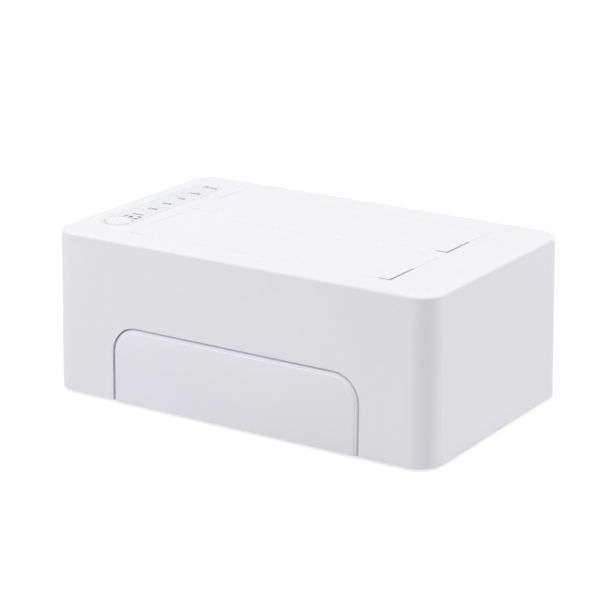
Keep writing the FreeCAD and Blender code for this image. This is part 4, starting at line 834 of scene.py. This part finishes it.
def make_button_collar(middle, radius):
    """Thin collar in the roof around the button."""
    strip_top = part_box("indicator_strip")[1][2]
    outer = radius + pieces().button_gap - 0.01 * MM
    wall = 0.22 * MM
    depth = 1.6 * MM
    height = 1.53 * MM
    collar = begin(bpy.ops.mesh.primitive_circle_add, vertices=64, radius=outer, fill_type="NGON",
                   location=(middle.x, middle.y, strip_top - depth))
    shape(collar, "FACE", every, inset(wall), DROP_FACES)
    shape(collar, "FACE", every, push(0, 0, height))
    settle(soften(tidy_normals(collar), 0.04 * MM), "button_collar", "strip_white")


# ---------------------------------------------------------------- flaps and front panel

class DUPLICATOR_OT_lips(bpy.types.Operator):
    """Fit the soft lips that close the gaps around both flaps"""

    bl_idname = "duplicator.lips"
    bl_label = "Flap lips"

    def execute(self, context):
        sizes = pieces()
        reach = sizes.flap_gap - sizes.lip_gap
        for side in ("front", "rear"):
            low, high, _ = middle_of(f"{side}_bay_flap")
            left = low.x + sizes.stop_reach
            right = high.x - sizes.stop_reach
            back = high.y - sizes.hinge_reach
            depth = sizes.notch_depth
            bite = sizes.lip_bite
            lap = sizes.lip_lap
            notch_end = low.y + sizes.notch_length + sizes.lip_start
            spans = (
                ((left - reach + lap, low.y), (left + depth + bite, back)),
                ((left - reach, low.y), (left + depth, (low.y + back) / 2)),
                ((left, low.y), (left + sizes.notch_return + bite, low.y + depth + bite)),
                ((right - lap, notch_end), (right + reach, back)),
                ((left - reach, back - lap), (right + reach, back + reach)),
            )
            bottom = high.z - sizes.lip_depth
            top = high.z - sizes.lip_sink
            lips = [span_block(start, end, bottom, top) for start, end in spans]
            for other in lips[1:]:
                apply_modifier(lips[0], "BOOLEAN", object=other, operation="UNION", solver="EXACT")
                discard(other)
            settle(soften(lips[0], 0.06 * MM, 1), f"{side}_flap_lips", "flap_white", f"{side}_flap")
        return {"FINISHED"}


def span_block(start, end, bottom, top):
    """Start a piece from a box between two corners."""
    middle = ((start[0] + end[0]) / 2, (start[1] + end[1]) / 2, (bottom + top) / 2)
    return block(middle, (end[0] - start[0], end[1] - start[1], top - bottom))


class DUPLICATOR_OT_panel(bpy.types.Operator):
    """Lay the proud face with its rounded edge on the front panel"""

    bl_idname = "duplicator.panel"
    bl_label = "Front panel face"

    def execute(self, context):
        sizes = pieces()
        low = middle_of("front_panel")[0]
        rise = sizes.panel_rise
        rounding = rise * 0.95
        plate = bpy.data.objects.new("Panel face", NODES["front_panel"].data.copy())
        context.scene.collection.objects.link(plate)
        flatten = (bpy.ops.mesh.dissolve_limited, {"angle_limit": math.radians(1)})
        shape(plate, "FACE", every, weld(1e-6), flatten)
        ahead = [face for face in plate.data.polygons if face.normal.y < -0.9]
        front = max(ahead, key=lambda face: face.area).center.copy()
        shape(plate, "FACE", lambda centre, normal: (centre - front).length < 1e-6, INVERT_PICK, DROP_FACES)
        shape(plate, "FACE", every, inset(sizes.panel_margin), INVERT_PICK, DROP_FACES)
        shape(plate, "FACE", every, push(0, -rise, 0), bevel(rounding, 3))
        foot = low.z + (sizes.panel_margin + rise) * 1.1
        shape(plate, "EDGE", lambda start, end: max(start.z, end.z) < foot,
              resize((1, 1, 0), (0, low.y, low.z)))
        shape(plate, "FACE", every, (bpy.ops.mesh.dissolve_degenerate, {"threshold": 5e-6}), weld(5e-6))
        tidy_normals(plate)
        bpy.ops.mesh.customdata_custom_splitnormals_clear()
        settle(plate, "panel_face", "panel_white")
        return {"FINISHED"}


class DUPLICATOR_OT_springs(bpy.types.Operator):
    """Wind the torsion springs of both flaps from round wire"""

    bl_idname = "duplicator.springs"
    bl_label = "Flap springs"

    def execute(self, context):
        for side in ("front", "rear"):
            low, high, _ = middle_of(f"{side}_flap_spring")
            wire = pieces().spring_wire / 2
            turns = round((high.x - low.x) / (2 * wire)) - 1
            coil_radius = (high.y - low.y) / 2 - wire
            pivot = Vector((low.x + wire, (low.y + high.y) / 2, high.z - coil_radius - wire))
            coil = begin(bpy.ops.mesh.primitive_circle_add, vertices=10, radius=wire,
                         fill_type="NOTHING", location=(0, coil_radius, 0))
            apply_modifier(coil, "SCREW", axis="X", angle=turns * 2 * math.pi, steps=turns * 22,
                           render_steps=turns * 22, screw_offset=turns * 2 * wire, use_merge_vertices=False)
            shape(coil, "EDGE", lambda a, b: False,
                  (bpy.ops.mesh.select_non_manifold, {}),
                  (bpy.ops.mesh.fill_holes, {"sides": 0}))
            tidy_normals(coil)
            leg = pivot.z - low.z
            shape(coil, "FACE", lambda centre, normal: normal.z < -0.95 and centre.x < wire / 2
                  and abs(centre.z) < wire / 2 and centre.y > 0,
                  push(0, 0, -leg * 0.96), push(0, 0, -leg * 0.04),
                  resize((0.6, 0.6, 1), (0, coil_radius, 0)))
            lone(coil)
            bpy.ops.transform.translate(value=pivot)
            fix_place()
            spring = settle(coil, f"{side}_flap_spring_coil", "bright_steel")
            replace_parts(spring, f"{side}_flap_spring")
        return {"FINISHED"}


# ---------------------------------------------------------------- sockets and ports

def make_contacts(place, count, name, pitch=None):
    """Bend one leaf contact and repeat it along a slot."""
    pitch = pitch or pieces().contact_pitch
    start = Vector(place) + Vector((-(count - 1) / 2 * pitch, 0, 0))
    leaf = block(start + Vector((0, 0, 0.5 * MM)), (0.62 * MM, 0.2 * MM, 1.0 * MM))
    shape(leaf, "FACE", faces((0, 0, 1)), push(0, -0.12 * MM, 1.2 * MM), push(0, -0.2 * MM, 1.2 * MM),
          push(0, 0.12 * MM, 0.9 * MM), push(0, 0.2 * MM, 0.5 * MM))
    soften(leaf, 0.04 * MM, 1)
    return settle(repeat(leaf, count, (pitch, 0, 0)), name, "port_metal", finish="contact_metal")


class DUPLICATOR_OT_contacts(bpy.types.Operator):
    """Set the leaf contacts into both slots of each drive socket"""

    bl_idname = "duplicator.contacts"
    bl_label = "Socket contacts"

    def execute(self, context):
        sizes = pieces()
        for side in ("front", "rear"):
            _, high, middle = middle_of(f"{side}_drive_socket")
            place_y = middle.y + sizes.slot_width / 2 - 0.2 * MM
            bottom = high.z - sizes.slot_depth
            for name, shift, count in (("power", sizes.power_shift, 15), ("data", sizes.data_shift, 7)):
                make_contacts((middle.x + shift, place_y, bottom), count, f"{side}_{name}_contacts")
        return {"FINISHED"}


class DUPLICATOR_OT_ports(bpy.types.Operator):
    """Fit the tongue and contacts of the data port, the pin of the power jack and the switch marks"""

    bl_idname = "duplicator.ports"
    bl_label = "Rear ports"

    def execute(self, context):
        make_data_tongue()
        make_jack_pin()
        make_switch_marks()
        return {"FINISHED"}


def make_data_tongue():
    """Black tongues of the data port with flat contacts along them."""
    low, high, middle = middle_of("usb_port")
    mouth = high.y - 1.1 * MM
    depth = 7.6 * MM
    main = block((middle.x, mouth - depth / 2, low.z + 4.1 * MM), (6.4 * MM, depth, 2.7 * MM))
    upper = block((middle.x, mouth - depth / 2, high.z - 2.3 * MM), (4.9 * MM, depth, 0.9 * MM))
    for tongue in (main, upper):
        shape(tongue, "FACE", faces((0, 1, 0)), inset(0.25 * MM),
              (bpy.ops.transform.translate, {"value": (0, 0.3 * MM, 0)}))
        soften(tongue, 0.08 * MM)
    settle(merged([main, upper]), "data_port_tongues", "socket_black")
    strips = []
    for count, pitch, width, level in ((2, 2.5, 1.0, low.z + 5.5 * MM), (2, 2.5, 1.0, low.z + 2.7 * MM),
                                       (5, 0.9, 0.45, high.z - 2.8 * MM)):
        for index in range(count):
            place = (middle.x + (index - (count - 1) / 2) * pitch * MM, mouth - depth * 0.45, level)
            strip = block(place, (width * MM, depth * 0.75, 0.16 * MM))
            shape(strip, "FACE", faces((0, 1, 0)), push(0, 0.35 * MM, 0),
                  (bpy.ops.transform.resize, {"value": (0.8, 1, 0.4)}))
            strips.append(strip)
    settle(merged(strips), "data_port_contacts", "port_metal", finish="contact_metal")


def make_jack_pin():
    """Bright centre pin and the spring contact of the power jack."""
    low, high, middle = middle_of("power_jack")
    axis_z = low.z + 5.5 * MM
    start = Vector((middle.x, low.y + 4.2 * MM, axis_z))
    pin = turned(start, 1.15 * MM, ((7.2 * MM, 1.15 * MM), (0.5 * MM, 1.0 * MM), (0.25 * MM, 0.7 * MM),
                                    (0.1 * MM, 0.3 * MM)), sides=24, along_y=True)
    leaf = block((middle.x, high.y - 5.6 * MM, axis_z - 2.5 * MM), (1.6 * MM, 2.0 * MM, 0.25 * MM))
    shape(leaf, "FACE", faces((0, 1, 0)), push(0, 1.6 * MM, 0.45 * MM), push(0, 1.2 * MM, -0.3 * MM))
    soften(leaf, 0.05 * MM, 1)
    settle(merged([pin, leaf]), "power_jack_contacts", "port_metal", finish="contact_metal")


def make_switch_marks():
    """White ON and OFF marks pressed onto the hollow face of the rocker."""
    _, high, middle = middle_of("power_rocker")
    front = high.y + 1.0 * MM
    facing = (-math.pi / 2, 0, 0)
    bar = begin(bpy.ops.mesh.primitive_plane_add, size=1, location=(middle.x - 2.7 * MM, front, middle.z),
                rotation=facing)
    bpy.ops.transform.resize(value=(0.5 * MM, 1, 2.4 * MM),
                             center_override=(middle.x - 2.7 * MM, front, middle.z))
    fix_place()
    ring = begin(bpy.ops.mesh.primitive_circle_add, vertices=32, radius=1.15 * MM, fill_type="NGON",
                 location=(middle.x + 2.7 * MM, front, middle.z), rotation=facing)
    shape(ring, "FACE", faces((0, 1, 0)), inset(0.38 * MM), DROP_FACES)
    marks = merged([bar, ring])
    shape(marks, "FACE", every, (bpy.ops.mesh.subdivide, {"number_cuts": 3}))
    apply_modifier(marks, "SHRINKWRAP", target=NODES["power_rocker"], wrap_method="PROJECT",
                   use_project_y=True, use_negative_direction=True, use_positive_direction=True,
                   offset=0.02 * MM)
    apply_modifier(marks, "SOLIDIFY", thickness=0.04 * MM, offset=0)
    settle(tidy_normals(marks), "switch_marks", "case_white", "power_rocker")


# ---------------------------------------------------------------- feet and screws

class DUPLICATOR_OT_feet(bpy.types.Operator):
    """Press the four rubber feet, dished below and soft at the rim"""

    bl_idname = "duplicator.feet"
    bl_label = "Rubber feet"

    def execute(self, context):
        low, high, _ = middle_of("feet")
        radius = pieces().foot_radius
        dish = 0.35 * MM
        for number, (x, y) in enumerate(corner_places("feet", radius, radius), start=1):
            start = Vector((x, y, low.z + dish))
            height = high.z - low.z
            foot = turned(start, radius * 0.55, (
                (-dish * 0.6, radius * 0.6), (-dish * 0.4, radius * 0.66), (0, radius * 0.9),
                (0.12 * MM, radius * 0.97), (0.25 * MM, radius), (height - 0.6 * MM, radius),
                (0.23 * MM, radius * 0.97)), sides=48)
            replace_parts(settle(foot, f"foot_{number}", "rubber_black"), "feet")
        return {"FINISHED"}


def make_screw(node, name, slot_name, up, head_radius, head_height, shank_radius, insets):
    """Turn one screw with a cross in its head, then copy it to the four places of its node."""
    low, high, _ = middle_of(node)
    places = corner_places(node, *insets)
    first = Vector((places[0][0], places[0][1], low.z if up else high.z))
    way = 1 if up else -1
    rim = head_height * 0.3
    steps = [(way * rim * 0.5, head_radius * 0.93), (way * rim * 0.5, head_radius),
             (way * (head_height - rim), head_radius), (0, shank_radius)]
    shank = high.z - low.z - head_height
    pitch = 0.5 * MM
    threads = int(shank / pitch) - 1
    for _ in range(threads):
        steps += [(way * pitch * 0.5, shank_radius * 0.8), (way * pitch * 0.5, shank_radius)]
    steps.append((way * (shank - threads * pitch), shank_radius * 0.5))
    screw = turned(first, head_radius * 0.8, steps, sides=20)
    reach = head_radius * 1.1
    slot = 0.9 * MM
    for size_x, size_y in ((reach, slot), (slot, reach)):
        arm = block(first, (size_x, size_y, head_height * 1.1))
        shape(arm, "FACE", faces((0, 0, way)),
              resize((0.5, 0.5, 1), first))
        apply_modifier(screw, "BOOLEAN", object=arm, operation="DIFFERENCE", solver="EXACT")
        discard(arm)
    shifts = [(x - first.x, y - first.y, 0) for x, y in places[1:]]
    for number, made in enumerate(copies(screw, shifts), start=1):
        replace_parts(settle(made, f"{name}_{number}", slot_name), node)


class DUPLICATOR_OT_screws(bpy.types.Operator):
    """Turn the case, board and guide screws with threads and crossed heads"""

    bl_idname = "duplicator.screws"
    bl_label = "Screws"

    def execute(self, context):
        large = (2.7 * MM, 1.15 * MM, 1.5 * MM, (2.71 * MM, 2.71 * MM))
        make_screw("case_screws", "case_screw", "screw_steel", True, *large)
        small = (2.2 * MM, 1.2 * MM, 1.25 * MM, (2.2 * MM, 1.91 * MM))
        make_screw("board_screws", "board_screw", "screw_steel", False, *small)
        make_screw("guide_screws", "guide_screw", "screw_steel", True, *small)
        return {"FINISHED"}


# ---------------------------------------------------------------- boards

def make_chip(low, high, legs, name):
    """Flat package: a body with a raised middle and bent legs on four sides."""
    middle = (low + high) / 2
    reach = 0.8 * MM
    side = high.x - low.x - 2 * reach
    body = block((middle.x, middle.y, middle.z + 0.05 * MM), (side, side, high.z - low.z - 0.1 * MM))
    shape(body, "FACE", faces((0, 0, 1)), inset(0.2 * MM))
    shape(body, "EDGE", lambda a, b: abs(a.z - b.z) > (high.z - low.z) / 2,
          bevel(0.35 * MM, 1))
    soften(body, 0.06 * MM, 1)
    dot = turned(Vector((middle.x - side * 0.36, middle.y + side * 0.36, high.z - 0.02 * MM)), 0.45 * MM,
                 ((0.02 * MM, 0.45 * MM), (-0.01 * MM, 0.3 * MM)), sides=16)
    pitch = side * 0.88 / (legs - 1)
    foot = block((middle.x - pitch * (legs - 1) / 2, low.y + 0.15 * MM, low.z + 0.06 * MM),
                 (pitch * 0.5, 0.3 * MM, 0.12 * MM))
    shape(foot, "FACE", faces((0, 1, 0)), push(0, 0.16 * MM, (high.z - low.z) * 0.45), push(0, 0.4 * MM, 0))
    repeat(foot, legs, (pitch, 0, 0))
    rows = merged(quarter_turns(foot, (middle.x, middle.y, low.z)))
    settle(merged([body, dot]), name, "chip_black")
    settle(rows, f"{name}_legs", "port_metal")
    return body


class DUPLICATOR_OT_chips(bpy.types.Operator):
    """Set the controller and both bridge chips on the main board"""

    bl_idname = "duplicator.chips"
    bl_label = "Chips"

    def execute(self, context):
        low, high, _ = middle_of("controller_chip")
        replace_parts(make_chip(low, high, 16, "controller"), "controller_chip")
        low, high, _ = middle_of("bridge_chips")
        side = high.x - low.x
        for name, start in (("front_bridge", low.y), ("rear_bridge", high.y - side)):
            corner = Vector((low.x, start, low.z))
            far = Vector((high.x, start + side, high.z))
            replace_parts(make_chip(corner, far, 10, name), "bridge_chips")
        return {"FINISHED"}


class DUPLICATOR_OT_power_parts(bpy.types.Operator):
    """Set the inductors and the electrolytic cans on the main board"""

    bl_idname = "duplicator.power_parts"
    bl_label = "Power parts"

    def execute(self, context):
        low, high, middle = middle_of("capacitors")
        radius = (high.x - low.x) / 2
        steps = ((0.9 * MM, radius), (0.2 * MM, radius * 0.88), (0.3 * MM, radius * 0.88),
                 (0.2 * MM, radius), (5.0 * MM, radius), (0.3 * MM, radius * 0.94), (0, radius * 0.8),
                 (-0.12 * MM, radius * 0.76), (0, radius * 0.1))
        for number, y in enumerate((low.y + radius, high.y - radius), start=1):
            base = block((middle.x, y, low.z + 0.4 * MM), (radius * 2, radius * 2, 0.8 * MM))
            shape(base, "EDGE", lambda a, b: abs(a.z - b.z) > 0.5 * MM and a.x > middle.x,
                  bevel(0.9 * MM, 1))
            settle(soften(base, 0.08 * MM), f"capacitor_base_{number}", "chip_black")
            can = turned(Vector((middle.x, y, low.z + 0.7 * MM)), radius * 0.95, steps, sides=32)
            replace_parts(settle(can, f"capacitor_{number}", "can_metal"), "capacitors")
        low, high, middle = middle_of("inductors")
        side = high.y - low.y
        for number, x in enumerate((low.x + side / 2, high.x - side / 2), start=1):
            coil = block((x, middle.y, middle.z), (side, side, high.z - low.z))
            shape(coil, "EDGE", lambda a, b: abs(a.z - b.z) > 1.0 * MM,
                  bevel(1.1 * MM, 3))
            shape(coil, "FACE", faces((0, 0, 1)), inset(0.7 * MM),
                  (bpy.ops.transform.translate, {"value": (0, 0, -0.25 * MM)}))
            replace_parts(settle(soften(coil, 0.12 * MM), f"inductor_{number}", "chip_black"), "inductors")
        return {"FINISHED"}


class DUPLICATOR_OT_board_parts(bpy.types.Operator):
    """Press the ribs of the flat cable and solder the smallest parts"""

    bl_idname = "duplicator.board_parts"
    bl_label = "Cable and small parts"

    def execute(self, context):
        make_cable()
        make_small_parts()
        return {"FINISHED"}


def make_cable():
    """Flat cable with a rib over every wire."""
    low, high, middle = middle_of("board_cable")
    cable = block(middle, high - low)
    wires = 9
    step = (high.y - low.y) / (2 * wires)
    split = (bpy.ops.mesh.subdivide, {"number_cuts": 2 * wires - 1})
    shape(cable, "EDGE", lambda a, b: abs(a.y - b.y) > step, split)

    def between_wires(a, b):
        """Test that picks the short upright edges in the valleys between wires."""
        column = round((a.y - low.y) / step)
        return column % 2 == 0 and abs(a.y - b.y) < step / 4 and abs(a.z - b.z) > step

    shape(cable, "EDGE", between_wires, resize((0.35, 1, 1), middle))
    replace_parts(settle(cable, "board_cable_ribs", "cable_grey"), "board_cable")


def make_small_parts():
    """Rows of surface-mounted resistors with tinned ends around the chips."""
    low, high, _ = middle_of("controller_chip")
    deck = low.z
    bodies = []
    ends = []
    rows = (
        (high.x + 2.4 * MM, low.y),
        (low.x - 2.4 * MM, low.y),
        (high.x + 6.2 * MM, low.y + 1.0 * MM),
    )
    for x, y in rows:
        part = block((x, y, deck + 0.27 * MM), (1.3 * MM, 0.8 * MM, 0.5 * MM))
        shape(part, "FACE", faces((0, 0, 1)), inset(0.08 * MM))
        bodies.append(repeat(soften(part, 0.05 * MM, 1), 7, (0, 1.9 * MM, 0)))
        for side in (-1, 1):
            end = block((x + side * 0.78 * MM, y, deck + 0.28 * MM), (0.3 * MM, 0.84 * MM, 0.54 * MM))
            ends.append(repeat(soften(end, 0.06 * MM), 7, (0, 1.9 * MM, 0)))
    settle(merged(bodies), "resistors", "chip_black")
    settle(merged(ends), "resistor_ends", "port_metal")


# ---------------------------------------------------------------- stage

class DUPLICATOR_OT_stage(bpy.types.Operator):
    """Set the pale floor, the soft lamps and the camera"""

    bl_idname = "duplicator.stage"
    bl_label = "Stage"

    def execute(self, context):
        values = stage()
        make_world(values.sky)
        make_floor()
        left = values.side_lamp * values.left_share
        right = values.side_lamp * values.right_share
        make_lamp("Overhead", (0.15, -0.25, 1.0), values.overhead, spread=70)
        make_side_lamp("Left", (-0.6, -0.8, 0.45), values.left_away, left)
        make_side_lamp("Right", (0.8, 0.6, 0.45), values.right_away, right)
        make_camera(values.camera_place, values.lens)
        context.scene.view_settings.view_transform = "Standard"
        return {"FINISHED"}


def make_world(strength):
    """Even pale light; camera, glossy and transmission rays see plain white."""
    world = bpy.data.worlds.new("Even light")
    world.use_nodes = True
    tree = world.node_tree
    out = tree.nodes["World Output"]
    light = tree.nodes["Background"]
    light.inputs["Color"].default_value = (1, 1, 1, 1)
    light.inputs["Strength"].default_value = strength
    white = add(tree, "ShaderNodeBackground", Color=(1, 1, 1, 1), Strength=1.0)
    mix = add(tree, "ShaderNodeMixShader")
    join(
        tree,
        (seen_directly(tree), mix.inputs["Fac"]),
        (light.outputs[0], mix.inputs[1]),
        (white.outputs[0], mix.inputs[2]),
        (mix.outputs[0], out.inputs["Surface"]),
    )
    bpy.context.scene.world = world


def seen_directly(tree):
    """Return 1 for camera, glossy and transmission rays."""
    path = add(tree, "ShaderNodeLightPath")
    first = add(tree, "ShaderNodeMath", operation="MAXIMUM")
    second = add(tree, "ShaderNodeMath", operation="MAXIMUM")
    join(
        tree,
        (path.outputs["Is Camera Ray"], first.inputs[0]),
        (path.outputs["Is Glossy Ray"], first.inputs[1]),
        (path.outputs["Is Transmission Ray"], second.inputs[0]),
        (first.outputs[0], second.inputs[1]),
    )
    return second.outputs[0]


def make_floor():
    """Wide pale floor that keeps a light shadow under the duplicator."""
    bpy.ops.mesh.primitive_plane_add(size=6.0, location=(0, 0, 0))
    floor = bpy.context.object
    floor.name = "Floor"
    material = bpy.data.materials.new("Pale floor")
    material.use_nodes = True
    tree = material.node_tree
    tree.nodes.remove(tree.nodes["Principled BSDF"])
    out = tree.nodes["Material Output"]
    bounce = add(tree, "ShaderNodeBsdfDiffuse", Color=(0.58, 0.58, 0.58, 1))
    shadow = add(tree, "ShaderNodeBsdfDiffuse", Color=(0.3, 0.3, 0.3, 1))
    glow = add(tree, "ShaderNodeEmission", Color=(1, 1, 1, 1), Strength=0.76)
    both = add(tree, "ShaderNodeAddShader")
    mix = add(tree, "ShaderNodeMixShader")
    join(
        tree,
        (shadow.outputs[0], both.inputs[0]),
        (glow.outputs[0], both.inputs[1]),
        (seen_directly(tree), mix.inputs["Fac"]),
        (bounce.outputs[0], mix.inputs[1]),
        (both.outputs[0], mix.inputs[2]),
        (mix.outputs[0], out.inputs["Surface"]),
    )
    floor.data.materials.append(material)


def make_lamp(name, direction, strength, spread):
    """Add a wide sun lamp that shines from a direction."""
    data = bpy.data.lights.new(name, "SUN")
    data.energy = strength
    data.angle = math.radians(spread)
    lamp = bpy.data.objects.new(name, data)
    lamp.rotation_mode = "QUATERNION"
    lamp.rotation_quaternion = Vector(direction).to_track_quat("Z", "Y")
    bpy.context.scene.collection.objects.link(lamp)


def make_side_lamp(name, direction, away, strength):
    """Add a large soft box aimed at the duplicator, which glossy surfaces don't reflect."""
    data = bpy.data.lights.new(name, "AREA")
    data.shape = "DISK"
    data.size = away * 0.7
    data.color = (0.96, 0.94, 1.0)
    data.energy = strength * math.pi * away * away
    lamp = bpy.data.objects.new(name, data)
    aim = Vector(direction).normalized()
    lamp.location = aim * away
    lamp.rotation_mode = "QUATERNION"
    lamp.rotation_quaternion = aim.to_track_quat("Z", "Y")
    lamp.visible_glossy = False
    bpy.context.scene.collection.objects.link(lamp)


def make_camera(place, lens):
    """Add the camera, square to the horizon."""
    data = bpy.data.cameras.new("Camera")
    data.lens = lens
    data.sensor_width = 36.0
    data.clip_start = 0.01
    camera = bpy.data.objects.new("Camera", data)
    camera.matrix_world = Matrix((
        (0.8395, -0.1630, 0.5184, place[0]),
        (0.5434, 0.2518, -0.8009, place[1]),
        (0.0, 0.9541, 0.2999, place[2]),
        (0.0, 0.0, 0.0, 1.0),
    ))
    bpy.context.scene.collection.objects.link(camera)
    bpy.context.scene.camera = camera


class DUPLICATOR_PT_panel(bpy.types.Panel):
    """Lists the steps that dress the duplicator"""

    bl_idname = "DUPLICATOR_PT_panel"
    bl_label = "Drive duplicator"
    bl_space_type = "VIEW_3D"
    bl_region_type = "UI"
    bl_category = "Duplicator"

    def draw(self, context):
        for step in STEPS:
            self.layout.operator(step.bl_idname)


STEPS = (
    DUPLICATOR_OT_finishes,
    DUPLICATOR_OT_marks,
    DUPLICATOR_OT_button,
    DUPLICATOR_OT_lips,
    DUPLICATOR_OT_panel,
    DUPLICATOR_OT_springs,
    DUPLICATOR_OT_contacts,
    DUPLICATOR_OT_ports,
    DUPLICATOR_OT_feet,
    DUPLICATOR_OT_screws,
    DUPLICATOR_OT_chips,
    DUPLICATOR_OT_power_parts,
    DUPLICATOR_OT_board_parts,
    DUPLICATOR_OT_stage,
)
CLASSES = (FinishSettings, PieceSettings, StageSettings, *STEPS, DUPLICATOR_PT_panel)


def register():
    """Add the settings, the steps and the panel to Blender."""
    for each in CLASSES:
        bpy.utils.register_class(each)
    bpy.types.Scene.duplicator_finishes = bpy.props.PointerProperty(type=FinishSettings)
    bpy.types.Scene.duplicator_pieces = bpy.props.PointerProperty(type=PieceSettings)
    bpy.types.Scene.duplicator_stage = bpy.props.PointerProperty(type=StageSettings)


def unregister():
    """Take the settings, the steps and the panel out again."""
    del bpy.types.Scene.duplicator_stage
    del bpy.types.Scene.duplicator_pieces
    del bpy.types.Scene.duplicator_finishes
    for each in reversed(CLASSES):
        bpy.utils.unregister_class(each)


def main():
    """Run every step."""
    register()
    for step in STEPS:
        group, name = step.bl_idname.split(".")
        getattr(getattr(bpy.ops, group), name)()
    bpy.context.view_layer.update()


if __name__ == "__main__":
    main()
